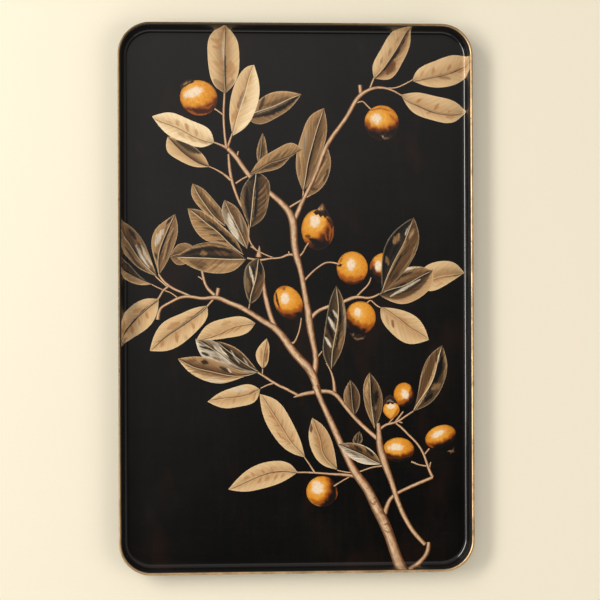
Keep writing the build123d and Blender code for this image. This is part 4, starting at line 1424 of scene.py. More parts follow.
FRUITS: Tuple[Fruit, ...] = (
    Fruit(9, (84.2, -100.3), (7.4, 8.3), 0, (84, -96.8), (4.2, 2.6, 0), -90, (1.85, 2.1, 2.3),
          (m(T.AMBER, 0.7, 5, (79, -99), (84, -103), (88, -99)),
           m(T.RUST, 0.5, 2, (86, -107), (90.5, -99))), pointed=0.5),
    Fruit(8, (95.5, -86.5), (9, 10.7), 0, (96.5, -86), (3.2, 4.4, 35), -50, (1.35, 1.68, 1.78),
          (m(T.MAROON, 0.8, 2, (102.5, -79), (104.3, -86)), m(T.BLACK, 0.9, 3.6, (95, -97.5), (102, -95.5)),
           m(T.RUST, 0.5, 2, (87.5, -88), (90, -94)))),
    Fruit(1, (-85.3, 176.5), (16.7, 15.5), -20, (-90, 181.5), (8.8, 4.4, 22), -70, (1.5, 1.64, 1.93),
          (m(T.RUST, 0.85, 2.4, (-95, 165.5), (-87, 161.2), (-77, 161.2), (-71, 166)),
           m(T.MAROON, 0.85, 3, (-91, 167), (-85, 164.3), (-77, 164.8)),
           m(T.RUST, 0.7, 1.6, (-84, 167.5), (-77, 168), (-73, 171)),
           m(T.BLACK, 0.75, 2, (-90, 161), (-82, 158.8), (-75, 159.5)))),
    Fruit(2, (76.7, 155), (15.3, 15.5), 0, (72, 159), (4.6, 5, 0), -85, (1.3, 1.44, 1.6),
          (m(T.RUST, 0.7, 1.4, (66, 165.8), (76, 168), (84, 165.5)), m(T.AMBER, 0.7, 2, (80, 163), (79.3, 155)),
           m(T.RUST, 0.5, 3, (64, 158), (66, 150)), m(T.RUST, 0.6, 2, (84, 162), (90, 156)))),
    Fruit(3, (19.5, 60), (14.5, 18), 0, (17, 67.5), (4.8, 5.4, 0), -48, (1.3, 1.45, 1.66),
          (m(T.RUST, 0.85, 1.7, (28, 68), (31, 60), (29.5, 50)), m(T.RUST, 0.7, 1.3, (25.5, 59), (28, 49)),
           m(T.RUST, 0.75, 1.5, (33, 63), (32.8, 53), (29.5, 44.5)),
           m(T.BLACK, 0.9, 6, (12.5, 52), (19, 48), (25, 46)), m(T.MAROON, 0.7, 3, (8.5, 54.5), (13, 54)),
           m(T.BLACK, 0.8, 1.2, (27, 71), (31.5, 65)))),
    Fruit(4, (50, 26), (13.8, 14.7), 0, (49, 29), (4, 5.4, 0), -95, (1.62, 1.9, 2.2),
          (m(T.BLACK, 0.9, 2.4, (37.5, 28), (40.5, 29)), m(T.MAROON, 0.7, 1.9, (43, 13), (51, 11.8), (59, 15.5)),
           m(T.RUST, 0.6, 2, (37.5, 21), (40, 15)), m(T.MAROON, 0.5, 1.2, (39, 31), (41.5, 35.5)))),
    Fruit(5, (79, 26), (13.5, 13.5), 0, (73, 28), (3, 5, 0), -120, (1.35, 1.55, 1.75),
          (m(T.BLACK, 0.8, 2.4, (66.5, 21), (69.5, 15.5), (74, 12)), m(T.RUST, 0.7, 2, (67, 33), (66.3, 25)))),
    Fruit(6, (-6.8, -4.5), (15.8, 12), -61, (-9.8, -0.8), (4, 5, 15), -80, (1.5, 1.72, 1.9),
          (m(T.BLACK, 0.9, 4, (0.5, -14), (5, -16)), m(T.MAROON, 0.85, 1.8, (-17.8, 5), (-17, -2), (-14.5, -9)),
           m(T.BLACK, 0.6, 2, (-10, 9), (-11.5, 6.5)), m(T.MAROON, 0.7, 2.4, (-9, -15), (-3, -18)),
           m(T.RUST, 0.5, 2, (-15, 8), (-8, 10)))),
    Fruit(7, (57, -18), (13.7, 14.5), 0, (54.7, -13.3), (3.5, 4.3, 0), -118, (1.35, 1.6, 1.7),
          (m(T.BLACK, 0.95, 6, (47.5, -24.5), (52, -29), (57, -31.5)),
           m(T.MAROON, 0.7, 2.6, (44.5, -21), (46, -28)), m(T.MAROON, 0.45, 2, (44, -13), (47, -7)),
           m(T.RUST, 0.5, 2.6, (69, -23), (62, -31)))),
    Fruit(10, (90.5, -135.5), (14, 11), 0, (88, -133), (6.6, 3.2, 0), -86, (1.4, 1.54, 1.78),
          (m(T.BLACK, 0.9, 4, (82, -146), (92, -147), (101, -142.5)), m(T.MAROON, 0.7, 2.4, (80, -139), (86, -142)))),
    Fruit(11, (128.1, -124), (14.2, 9.8), 22, (126.3, -121.3), (6.4, 2.8, 24), -70, (1.4, 1.6, 1.7),
          (m(T.BLACK, 0.95, 4.6, (121, -136.5), (130, -134), (141, -129.5)),
           m(T.RUST, 0.6, 2.6, (117, -131), (121, -133.5)), m(T.BROWN, 0.7, 1.2, (118.5, -138.5), (122, -139.3)))),
    Fruit(12, (22.5, -171.5), (14, 13.5), 0, (18.3, -168), (5.2, 6, 0), -25, (1.32, 1.5, 1.62),
          (m(T.RUST, 0.8, 1.2, (34.8, -169), (35.9, -175), (35, -180), (32.5, -183)),
           m(T.BRONZE, 0.8, 1.4, (15.5, -182.8), (18, -184), (21, -184.3)),
           m(T.RUST, 0.6, 3, (12, -178), (17, -181.5), (24, -181)))),
)
CROWNS: Tuple[Crown, ...] = (
    Crown(1, ((-100.6, 183.6), (-101.8, 187.6), (-98.6, 190.2), (-96.5, 192.3), (-92.5, 192.7), (-88.8, 191.2),
    (-91, 189.4), (-93.6, 188.8), (-96, 187.2), (-98.4, 185.8)),
          (m(T.TAN, 0.8, 1.5, (-98.8, 187.8), (-95, 190.6)), m(T.SAND, 0.6, 0.9, (-94, 190), (-92.5, 191.5)))),
    Crown(2, ((74.5, 144.5), (77, 141.5), (80, 139.6), (84, 140.5), (86.8, 143.4), (84, 145), (82, 144),
    (80, 146.5), (77.5, 145)),
          (m(T.GREY, 0.6, 0.9, (76.5, 143), (79, 141), (83, 142)),
           m(T.CHALK, 0.7, 0.9, (77.6, 142.8), (78.2, 143.4)))),
    Crown(3, ((15.6, 75.6), (18.5, 77.6), (21, 80.8), (23.5, 83.8), (25.6, 82.2), (26.6, 79), (28.6, 75.6),
    (31.4, 70.2), (28, 72), (26, 70.3), (24, 72.8), (22, 70.8), (20, 74), (18, 72.8)),
          (m(T.SAND, 0.85, 3, (20, 77.8), (24.5, 80)), m(T.BROWN, 0.7, 1.2, (19.5, 77), (26.5, 77.5)),
           m(T.BROWN, 0.6, 1, (21.5, 79.5), (26, 80)), m(T.RUST, 0.6, 1.5, (23.5, 82.8), (24.5, 80.8)),
           m(T.BLACK, 0.95, 2.6, (16, 74.6), (23, 72.8), (29.5, 72)))),
    Crown(7, ((47, -30.5), (49, -34.6), (51.5, -37), (54, -38.8), (56.5, -37.5), (60, -37.2), (61.8, -33.8),
    (58.5, -34), (56.5, -32), (53.5, -33.5), (51, -31.2), (49.5, -32)),
          (m(T.GREY, 0.6, 1, (50, -33.8), (51, -31.8)),
           m(T.BRONZE, 0.8, 1.2, (51.5, -36), (55, -37.2), (59.8, -36)))),
    Crown(9, ((77.4, -92), (79.5, -88.2), (83, -86.2), (86, -87.8), (88.6, -91.5), (89.8, -94.6), (87, -93.5),
    (85.5, -95.2), (83.5, -93.5), (81.5, -95.4), (79.5, -94), (77.2, -95.8)),
          (m(T.GREY, 0.8, 1.1, (79.3, -93), (82.8, -91.6), (86.8, -93.2)),
           m(T.BLACK, 0.9, 1, (81, -93.6), (84.6, -93.4)))),
    Crown(11, ((133.4, -137.6), (136.5, -135.8), (138.4, -136.4), (140.6, -132), (139.6, -136.4), (141.6, -138.2),
    (138.6, -137.8), (137, -140), (136.5, -137.5)),
          (m(T.BRONZE, 0.8, 3, (135, -136.8), (140, -136)),)),
)
LEAF_MARKS: Dict[int, Tuple[Mark, ...]] = {
    1: (m(T.OCHRE, 0.5, 3, (-74, 229), (-69, 226), (-65, 229)),
        m(T.OCHRE, 0.5, 2.6, (-73, 222), (-68, 221), (-65, 224)),
        m(T.OCHRE, 0.35, 2.6, (-73, 209), (-68, 206), (-64, 209)),
        m(T.BROWN, 0.45, 7, (-71, 192), (-66, 186), (-59, 184), (-55, 192)),
        m(T.OCHRE, 0.45, 7, (-57, 208), (-56, 195)), m(T.BLACK, 0.85, 2, (-62.2, 186), (-62.2, 214)),
        m(T.CHALK, 0.6, 1.2, (-63.8, 205), (-63.6, 220), (-62.8, 234))),
    2: (m(T.BROWN, 0.55, 3.6, (-51, 168), (-47.5, 176), (-45, 183)), m(T.OCHRE, 0.5, 3, (-47, 171), (-43.5, 178)),
        m(T.OCHRE, 0.35, 3.5, (-43, 188), (-39, 198)), m(T.OCHRE, 0.45, 3.5, (-56, 156), (-52, 166)),
        m(T.CHALK, 0.6, 1.2, (-50, 165), (-46, 177), (-43, 187))),
    3: (m(T.DARK, 0.75, 2.8, (-32, 166), (-30, 171), (-27, 178)),
        m(T.BLACK, 0.8, 3.4, (-38, 159.5), (-22, 163), (-8, 170), (2, 178)),
        m(T.UMBER, 0.6, 4, (-27, 170), (-15, 173), (-6, 177)),
        m(T.SAND, 0.5, 1.5, (-25, 180), (-12, 182), (0, 181.5)),
        m(T.CHALK, 0.6, 1.1, (-36, 163), (-20, 168), (-6, 175))),
    4: (m(T.OCHRE, 0.55, 2.6, (-105, 157), (-103, 152)), m(T.OCHRE, 0.6, 2.8, (-96.5, 153.5), (-95, 147)),
        m(T.OCHRE, 0.55, 2.2, (-88, 148.5), (-87, 143)), m(T.OCHRE, 0.4, 2, (-114, 156), (-109, 153.5)),
        m(T.SAND, 0.6, 3, (-104, 147), (-97, 141)), m(T.SAND, 0.6, 3, (-95, 143), (-88, 138)),
        m(T.TAN, 0.5, 2.4, (-86, 139), (-78, 136))),
    5: (m(T.DARK, 0.8, 6, (-104, 138), (-95, 133), (-84, 128)),
        m(T.BRONZE, 0.6, 1.4, (-106, 138), (-98, 131), (-88, 123))),
    6: (m(T.DARK, 0.7, 1.8, (-31.5, 121), (-30.5, 132), (-29.5, 141)), m(T.BLACK, 0.5, 1.4, (-28, 125), (-28, 136))),
    7: (m(T.TAN, 0.6, 1.2, (-28, 119), (-18, 127)), m(T.TAN, 0.6, 1.2, (-20, 122), (-8, 131)),
        m(T.UMBER, 0.6, 1.3, (-24, 119), (-13, 128)),
        m(T.UMBER, 0.55, 1.3, (-15, 123), (-4, 132)),
        m(T.DARK, 0.65, 1.8, (-30, 113.5), (-18, 117), (-8, 122.5)), m(T.TAN, 0.5, 1.2, (-34, 113), (-24, 122))),
    8: (m(T.BLACK, 0.8, 3.2, (-43, 98), (-43, 84), (-41, 70)), m(T.BRONZE, 0.6, 2, (-46.5, 94), (-47, 82), (-44, 72)),
        m(T.TAN, 0.7, 1.6, (-38.7, 68), (-37.4, 82), (-36, 100)),
        m(T.BLACK, 0.85, 2.4, (-36, 72), (-34.8, 88), (-33.8, 103)),
        m(T.BRONZE, 0.7, 1, (-33.5, 91), (-27, 98)), m(T.BRONZE, 0.7, 1, (-34, 86), (-26, 93)),
        m(T.BRONZE, 0.7, 1, (-34.5, 81), (-26, 88)),
        m(T.BRONZE, 0.7, 1, (-34.5, 76), (-27, 83)), m(T.BRONZE, 0.6, 1, (-35, 72), (-29, 77)),
        m(T.TAN, 0.4, 1, (-27, 100), (-25, 88), (-28, 76)),
        m(T.BLACK, 0.9, 4.5, (-45, 104), (-36, 108), (-28, 110))),
    9: (m(T.BLACK, 0.8, 1.5, (9.8, 104), (12, 120), (16.5, 138), (20, 150)),
        m(T.SAND, 0.4, 1.8, (3, 118), (6, 136), (12, 152)),
        m(T.GREY, 0.6, 2.4, (7, 124), (8, 138), (11, 148)), m(T.UMBER, 0.5, 2.4, (20, 130), (24, 148)),
        m(T.UMBER, 0.6, 1.4, (13, 106), (19, 122), (25, 142)),
        m(T.UMBER, 0.5, 2, (3, 108), (3.5, 124)), m(T.SAND, 0.4, 1.4, (17, 118), (22, 132), (25, 146)),
        m(T.UMBER, 0.5, 3, (17, 152), (22, 160))),
    10: (m(T.BLACK, 0.8, 1.8, (14, 100), (20, 114), (26, 125)),
         m(T.SAND, 0.6, 1.3, (17, 102), (23, 114), (28, 123)), m(T.BLACK, 0.65, 2.6, (25, 103), (29, 114)),
         m(T.SAND, 0.5, 1.2, (20, 100), (27, 110)), m(T.DARK, 0.6, 2.4, (13, 96), (19, 96))),
    11: (m(T.BRONZE, 0.6, 1.8, (76, 207), (77.5, 213)), m(T.BRONZE, 0.55, 1.8, (83, 215), (85.5, 222)),
         m(T.BRONZE, 0.45, 1.6, (90, 226), (92, 231)),
         m(T.BROWN, 0.75, 7, (82, 199), (88, 208)),
         m(T.BLACK, 0.8, 2.4, (79, 202), (87, 212.5), (94, 221.5), (98, 230)),
         m(T.SAND, 0.8, 1.1, (88, 211), (94, 214.5), (99, 219)), m(T.BRONZE, 0.6, 3, (93, 217), (99, 227)),
         m(T.UMBER, 0.5, 2, (98, 229), (101, 237))),
    12: (m(T.OCHRE, 0.6, 2.2, (122, 198.5), (123.5, 204.5)), m(T.OCHRE, 0.6, 2.4, (136, 201.5), (138.5, 207)),
         m(T.BROWN, 0.45, 2.6, (127, 196.5), (138, 194.5)),
         m(T.OCHRE, 0.45, 2.2, (145, 200), (150, 203)),
         m(T.BROWN, 0.75, 1.3, (112, 193.6), (132, 198.3), (142, 201), (150, 205)),
         m(T.OCHRE, 0.4, 1.6, (112, 197), (114, 201))),
    13: (m(T.OCHRE, 0.65, 2.4, (108, 173), (112, 176.5)), m(T.OCHRE, 0.6, 2.6, (124, 167), (127.5, 172)),
         m(T.OCHRE, 0.5, 2, (136, 164.5), (138, 166.5)),
         m(T.OCHRE, 0.45, 2, (117, 163.5), (122, 166)),
         m(T.BROWN, 0.7, 1.2, (100, 175), (110, 170), (120, 165.5), (134, 162.8), (144, 162.5)),
         m(T.OCHRE, 0.4, 2.5, (134, 160), (142, 160.5))),
    14: (m(T.DARK, 0.7, 2.2, (-150, 45), (-140, 30), (-130, 22)),
         m(T.CHALK, 0.7, 2.2, (-141, 47), (-136, 36), (-129, 26)),
         m(T.CHALK, 0.6, 2, (-136, 46), (-132, 37), (-127, 29)),
         m(T.BLACK, 0.75, 3, (-147, 61), (-141, 52)), m(T.DARK, 0.7, 1.7, (-139.5, 50), (-135, 41)),
         m(T.DARK, 0.6, 1.5, (-143.5, 46), (-138, 36)), m(T.BLACK, 0.6, 1.4, (-141, 60), (-133, 46), (-126, 34))),
    15: (m(T.DARK, 0.75, 4, (-134, 17), (-142, 24), (-152, 32)),
         m(T.BRONZE, 0.5, 2, (-135, 13), (-145, 16), (-154, 22))),
    16: (m(T.CHALK, 0.65, 4, (-123.5, 46), (-121, 54), (-117, 60)),
         m(T.BLACK, 0.8, 2.6, (-120, 38), (-116, 50), (-111.5, 61)),
         m(T.SAND, 0.45, 1.4, (-117, 34), (-113, 50), (-108, 62)),
         m(T.DARK, 0.65, 1.6, (-115, 34), (-111, 50), (-107, 60)),
         m(T.BLACK, 0.7, 2.2, (-124.5, 40), (-121.5, 33)), m(T.BLACK, 0.8, 1.8, (-114, 65), (-108.5, 72)),
         m(T.TAN, 0.5, 1.2, (-118, 40), (-112, 56), (-107, 70))),
    17: (m(T.DARK, 0.6, 3.5, (-92, 33), (-90, 44)), m(T.BLACK, 0.5, 1.6, (-98, 36), (-106, 35))),
    18: (m(T.BLACK, 0.75, 4, (-98, 38.5), (-86, 42.5), (-70, 43.5), (-56, 40)),
         m(T.BRONZE, 0.8, 4.5, (-84, 38.8), (-79, 39.2)), m(T.UMBER, 0.8, 3.5, (-70, 40), (-60, 38.5)),
         m(T.BLACK, 0.75, 1.8, (-92, 37), (-80, 36.3), (-58, 36)),
         m(T.UMBER, 0.6, 5, (-93, 32), (-85, 29.5), (-79, 29)), m(T.SAND, 0.5, 3, (-72, 29), (-60, 28), (-52, 30)),
         m(T.TAN, 0.7, 1.4, (-103, 38.5), (-92, 44), (-76, 47), (-58, 43.5)),
         m(T.BLACK, 0.4, 3, (-88, 27.5), (-80, 26))),
    19: (m(T.BLACK, 0.8, 3.6, (-49, 41), (-60, 52), (-68, 59.5)), m(T.BLACK, 0.7, 2.4, (-68, 59.5), (-77, 67.5)),
         m(T.DARK, 0.7, 1.4, (-61, 49.5), (-71, 50.5)),
         m(T.DARK, 0.7, 1.4, (-66, 54.5), (-77, 56)), m(T.DARK, 0.7, 1.4, (-71, 59.5), (-82, 62)),
         m(T.DARK, 0.65, 1.4, (-76, 65), (-86, 68)),
         m(T.SAND, 0.55, 1.5, (-58, 56.5), (-70, 67.5), (-84, 77)),
         m(T.UMBER, 0.6, 1.3, (-56, 51.5), (-68, 63), (-80, 73)), m(T.TAN, 0.5, 2, (-66, 48), (-80, 54), (-89, 65))),
    20: (m(T.UMBER, 0.65, 1.4, (-68, 72), (-80, 86)), m(T.UMBER, 0.65, 1.4, (-73, 71.5), (-86, 85)),
         m(T.SAND, 0.5, 1.4, (-70, 80), (-82, 94)), m(T.DARK, 0.6, 1.4, (-66, 70), (-76, 82))),
    21: (m(T.CHALK, 0.75, 5.5, (-59, 74), (-56, 63), (-51.5, 53)),
         m(T.UMBER, 0.6, 1.6, (-53, 76), (-50, 62), (-46.5, 51)), m(T.GREY, 0.5, 1.6, (-50, 73), (-46.5, 58)),
         m(T.UMBER, 0.6, 2.5, (-63, 79), (-57, 82)), m(T.DARK, 0.6, 1.6, (-55.5, 70), (-52, 60)),
         m(T.UMBER, 0.5, 2, (-57, 79), (-52, 78)), m(T.DARK, 0.5, 1.2, (-47, 68), (-43.5, 54))),
    22: (m(T.BLACK, 0.7, 2, (-38.8, 28), (-36.5, 18)),
         m(T.CHALK, 0.75, 1.7, (-41.2, 28), (-39, 20), (-37.2, 11)),
         m(T.TAN, 0.7, 1.3, (-33.5, 31), (-35.5, 18), (-39.5, 1)),
         m(T.BLACK, 0.85, 3.4, (-31.5, 33), (-31, 21)), m(T.BRONZE, 0.6, 2.6, (-43, 17), (-42, 5)),
         m(T.UMBER, 0.75, 3, (-31, 15), (-36, 4)), m(T.GREY, 0.6, 1, (-44.8, 22), (-45, 8))),
    23: (m(T.OCHRE, 0.6, 2.2, (-132, -13), (-130.5, -18)), m(T.OCHRE, 0.65, 2.6, (-145, -24), (-144, -31)),
         m(T.OCHRE, 0.5, 2, (-139, -18.5), (-137.5, -24)), m(T.OCHRE, 0.5, 3, (-143, -12), (-136, -9)),
         m(T.OCHRE, 0.55, 4.5, (-151, -22), (-153, -34)), m(T.BROWN, 0.5, 3, (-149, -35), (-154, -42)),
         m(T.BLACK, 0.85, 1.3, (-123, -2.5), (-135, -11.5), (-144, -21), (-152, -33))),
    24: (m(T.OCHRE, 0.6, 2.4, (-92, -22), (-90, -27)), m(T.OCHRE, 0.65, 2.8, (-106, -30), (-105, -39)),
         m(T.OCHRE, 0.5, 4.5, (-103, -21.5), (-113, -27)), m(T.OCHRE, 0.55, 2.4, (-97, -18.5), (-89, -16)),
         m(T.OCHRE, 0.55, 3, (-117, -37.5), (-119, -43)),
         m(T.BLACK, 0.85, 1.3, (-80, -8), (-92, -18), (-100, -23.5), (-112, -31.5), (-122, -39)),
         m(T.TAN, 0.4, 3, (-98, -33), (-96, -38))),
    25: (m(T.OCHRE, 0.6, 1.3, (-47, -24), (-55, -30)), m(T.OCHRE, 0.6, 1.3, (-53, -25.5), (-62, -32)),
         m(T.OCHRE, 0.6, 1.3, (-60, -27.5), (-68, -34)), m(T.OCHRE, 0.55, 1.3, (-67, -30), (-76, -36)),
         m(T.OCHRE, 0.45, 1.6, (-76, -33), (-82, -37)), m(T.OCHRE, 0.4, 3, (-66, -24), (-58, -21))),
    26: (m(T.DARK, 0.85, 2, (-85.5, -38.8), (-79, -40.5)),
         m(T.DARK, 0.85, 2.2, (-85, -43), (-77, -45), (-71.5, -46.5)), m(T.DARK, 0.85, 2.4, (-83.5, -48), (-77, -51)),
         m(T.CHALK, 0.6, 4, (-72, -42), (-66, -50), (-58, -58)), m(T.CHALK, 0.5, 1.8, (-83, -45.5), (-72, -49)),
         m(T.UMBER, 0.5, 2, (-60, -60), (-47, -64)), m(T.UMBER, 0.6, 2, (-74, -52), (-66, -56)),
         m(T.GREY, 0.5, 1.5, (-76, -38), (-66, -46), (-56, -55))),
    27: (m(T.BLACK, 0.8, 3, (-65, -42), (-57, -49.5), (-50, -55)), m(T.UMBER, 0.7, 3, (-60, -43), (-50, -49)),
         m(T.CHALK, 0.85, 1.1, (-70, -39.5), (-66, -46), (-60, -52)),
         m(T.CHALK, 0.7, 1.1, (-57.5, -46.5), (-54, -53), (-50, -58)),
         m(T.CHALK, 0.6, 1, (-47, -53), (-42, -60)),
         m(T.TAN, 0.7, 1.4, (-67, -39), (-54, -43.5), (-44, -52), (-37, -61))),
    28: (m(T.BROWN, 0.65, 2.8, (-94, -60), (-78, -65), (-62, -68.3), (-44, -69.3)),
         m(T.BROWN, 0.5, 2.6, (-98, -56), (-88, -55)), m(T.DARK, 0.85, 4, (-83.5, -56), (-78, -57.5)),
         m(T.DARK, 0.8, 3.4, (-67, -61), (-60, -65.5)), m(T.BRONZE, 0.6, 2, (-91, -64.5), (-75, -69)),
         m(T.CHALK, 0.9, 1, (-60.5, -62.5), (-57.5, -65.8)), m(T.CHALK, 0.4, 3, (-80, -72), (-62, -74)),
         m(T.UMBER, 0.6, 1.2, (-96, -57.5), (-84, -61), (-70, -64))),
    29: (m(T.BROWN, 0.6, 2.2, (-27, -57), (-25.5, -46)), m(T.OCHRE, 0.5, 1.6, (-31, -56), (-31, -45))),
    30: (m(T.OCHRE, 0.6, 1.4, (-40, -85), (-54, -87.8), (-63, -90)),
         m(T.OCHRE, 0.55, 1.3, (-52, -86.5), (-48, -80.5)), m(T.OCHRE, 0.55, 1.7, (-54, -88), (-56, -93)),
         m(T.BROWN, 0.5, 2.2, (-37, -82), (-42, -86)), m(T.OCHRE, 0.55, 1.6, (-36, -84), (-38, -91)),
         m(T.CHALK, 0.5, 4, (-44, -80.5), (-58, -81)), m(T.OCHRE, 0.4, 2.5, (-66, -87), (-72, -90))),
    31: (m(T.OCHRE, 0.6, 1.6, (-26, -95), (-21, -104), (-14, -114), (-6, -127)),
         m(T.OCHRE, 0.55, 1.4, (-5, -127), (-3, -118)), m(T.OCHRE, 0.55, 1.3, (-13, -116), (-12, -107)),
         m(T.OCHRE, 0.5, 1.3, (-20, -107), (-19, -99)),
         m(T.OCHRE, 0.55, 1.5, (-14, -114), (-20, -113)),
         m(T.OCHRE, 0.6, 1.5, (-7, -127), (-14, -123), (-18, -117)),
         m(T.OCHRE, 0.5, 1.4, (-20, -106), (-25, -104)), m(T.OCHRE, 0.5, 2, (-2, -126), (-9, -130))),
    32: (m(T.BROWN, 0.8, 3, (12.5, -111), (13, -119)),
         m(T.OCHRE, 0.65, 1.6, (17, -114), (20.5, -128), (22.5, -138)),
         m(T.OCHRE, 0.55, 1.4, (20, -126), (23, -120)), m(T.OCHRE, 0.55, 1.4, (21.5, -132), (26, -126)),
         m(T.OCHRE, 0.55, 1.4, (20.5, -128), (15, -124)), m(T.OCHRE, 0.55, 1.6, (22.5, -136), (28, -131)),
         m(T.OCHRE, 0.5, 1.4, (21.5, -134), (16, -130)), m(T.OCHRE, 0.4, 3, (30, -146), (25, -143))),
    33: (m(T.OCHRE, 0.55, 1.5, (-20, -154.5), (-23, -150)), m(T.OCHRE, 0.55, 1.5, (-28, -156), (-31, -151)),
         m(T.OCHRE, 0.55, 1.5, (-37, -158.5), (-40, -154)), m(T.OCHRE, 0.6, 1.8, (-17, -156), (-20, -161)),
         m(T.OCHRE, 0.6, 2, (-24, -157), (-28, -162)), m(T.OCHRE, 0.6, 2, (-31, -159), (-34, -164)),
         m(T.OCHRE, 0.55, 1.8, (-11, -155.5), (-14, -159)), m(T.OCHRE, 0.5, 2.4, (-47, -160), (-42, -158)),
         m(T.BROWN, 0.6, 1, (-8, -153), (-22, -154), (-34, -157.5))),
    34: (m(T.BLACK, 0.8, 4.5, (80, 38), (84, 52), (92, 63)), m(T.BRONZE, 0.8, 4, (87, 48), (92, 56)),
         m(T.BRONZE, 0.7, 2.6, (80.5, 36), (82, 29)), m(T.BLACK, 0.75, 3.2, (84, 34), (91, 47)),
         m(T.BLACK, 0.75, 2.4, (79, 12), (86, 25), (94, 38)),
         m(T.UMBER, 0.5, 3.5, (95, 30), (100, 40), (104, 50)), m(T.CHALK, 0.75, 1.5, (97, 54), (101.5, 64)),
         m(T.SAND, 0.45, 2.6, (101, 52), (105, 61)), m(T.TAN, 0.7, 1.3, (77.5, 8), (84, 24), (92, 38.5), (98, 50)),
         m(T.TAN, 0.5, 1.3, (92, 20), (102, 34), (108, 50)), m(T.DARK, 0.6, 1.4, (95, 36), (101, 46)),
         m(T.DARK, 0.6, 2, (84, 14), (92, 24))),
    35: (m(T.BLACK, 0.8, 1.8, (80, 3.5), (90, 9), (98, 13)),
         m(T.BLACK, 0.7, 2.6, (83, 11.5), (94, 19), (103, 22)),
         m(T.CHALK, 0.8, 1.7, (84, 14.5), (92, 21.8), (100, 25.5), (110, 26.7)),
         m(T.CHALK, 0.7, 2.2, (84, 1), (94, 6.5), (102, 11.5), (110, 15.5)),
         m(T.UMBER, 0.6, 3, (100, 18), (112, 22)), m(T.DARK, 0.65, 1.8, (90, 2), (104, 8.5), (114, 16)),
         m(T.BRONZE, 0.5, 1.5, (88, 12), (98, 17), (108, 20)), m(T.BLACK, 0.5, 2.5, (114, 20), (120, 23))),
    36: (m(T.TAN, 0.5, 2, (80, -1), (94, -2), (108, 5)),),
    37: (m(T.OCHRE, 0.6, 1.1, (118, 13), (132, 17.5), (146, 20)),
         m(T.OCHRE, 0.5, 1.1, (134, 17.5), (135.5, 24.5)), m(T.OCHRE, 0.5, 1.1, (126, 15.5), (122, 21)),
         m(T.OCHRE, 0.45, 1.1, (130, 24), (137, 26)),
         m(T.BROWN, 0.5, 1.3, (140, 18.8), (147, 20.3)), m(T.OCHRE, 0.4, 1.1, (124, 9), (131, 13))),
    38: (m(T.BROWN, 0.7, 2, (85.3, -20), (86.5, -27)),
         m(T.OCHRE, 0.65, 1.3, (77, -10.5), (90, -19), (102, -28), (111, -34)),
         m(T.OCHRE, 0.4, 3.5, (92, -18), (100, -25.5)), m(T.OCHRE, 0.4, 2, (80, -16), (82, -24))),
    39: (m(T.BLACK, 0.8, 2.6, (28, -24), (31, -31), (33, -38)), m(T.BLACK, 0.75, 2.6, (31, -13), (34, -21)),
         m(T.BLACK, 0.75, 2.4, (38.8, -10), (39.3, -24)), m(T.UMBER, 0.7, 2.2, (25.5, -27), (27, -33)),
         m(T.CHALK, 0.9, 2.2, (28.8, -17.5), (32, -24), (34.5, -30)),
         m(T.CHALK, 0.75, 2, (33, -11.5), (35.5, -16), (37.5, -20)),
         m(T.CHALK, 0.75, 2, (25.5, -35), (28, -39), (31, -44)),
         m(T.SAND, 0.6, 1.2, (37.3, -10), (36.7, -26), (33.5, -45)), m(T.BRONZE, 0.6, 3, (41, -30), (38, -46)),
         m(T.GREY, 0.6, 1.3, (41, -3), (43.3, -18), (42.5, -34)), m(T.BLACK, 0.6, 1.6, (38, -30), (36, -44)),
         m(T.DARK, 0.6, 2, (29, -45), (31, -56))),
    40: (m(T.BLACK, 0.8, 1.8, (47.5, -78), (48.5, -88), (50.8, -99)),
         m(T.BRONZE, 0.6, 2.6, (44.3, -84), (45.5, -93)), m(T.UMBER, 0.6, 2.2, (52.5, -83), (53, -93)),
         m(T.GREY, 0.5, 1, (46, -77), (43.5, -86))),
    41: (m(T.BLACK, 0.85, 2, (65.7, -71), (66.2, -86), (67.4, -101)),
         m(T.SAND, 0.6, 1.8, (64, -72), (61.8, -84), (64.5, -100)),
         m(T.BLACK, 0.75, 3.4, (71.5, -83), (70.5, -93)), m(T.BRONZE, 0.6, 1.6, (70.5, -96), (70, -100)),
         m(T.GREY, 0.6, 1.3, (68.6, -110), (67.3, -97)), m(T.UMBER, 0.6, 2, (69, -74), (73, -80)),
         m(T.BRONZE, 0.5, 1.2, (72, -76), (75.5, -90), (73, -104)), m(T.UMBER, 0.5, 1.6, (62.5, -90), (65, -104))),
    42: (m(T.BLACK, 0.85, 4.5, (122.5, -77), (127, -65), (129.5, -54)),
         m(T.BLACK, 0.75, 3.6, (114.5, -92.5), (121, -86)), m(T.BRONZE, 0.75, 4, (120.5, -81.5), (128, -77.5)),
         m(T.UMBER, 0.6, 3, (113, -76), (118, -64)),
         m(T.SAND, 0.85, 2, (105, -101), (114, -86.5), (120.5, -73), (124.5, -58)),
         m(T.CHALK, 0.75, 1.3, (126.5, -58), (127, -51)), m(T.UMBER, 0.6, 2, (109, -92), (111, -84)),
         m(T.TAN, 0.5, 1.2, (130.5, -74), (133.5, -60), (131, -48)),
         m(T.TAN, 0.5, 1.2, (106.5, -90), (110.5, -72), (119, -53))),
    43: (m(T.DARK, 0.85, 2.8, (51.5, -131.2), (58, -136.5)), m(T.DARK, 0.85, 3, (62, -134.3), (68, -140.5)),
         m(T.CHALK, 0.7, 1.3, (53, -129.3), (62, -131.8), (70, -139)),
         m(T.DARK, 0.65, 1.1, (46, -132), (58, -139), (70, -146)),
         m(T.CHALK, 0.6, 3, (52, -141), (62, -145)), m(T.GREY, 0.5, 2, (40, -130), (47, -132)),
         m(T.UMBER, 0.5, 1.3, (48, -137), (56, -142))),
    44: (m(T.BLACK, 0.85, 1.8, (54, -128), (55.5, -122)), m(T.BRONZE, 0.6, 1, (51.5, -127), (53.5, -121.5))),
}
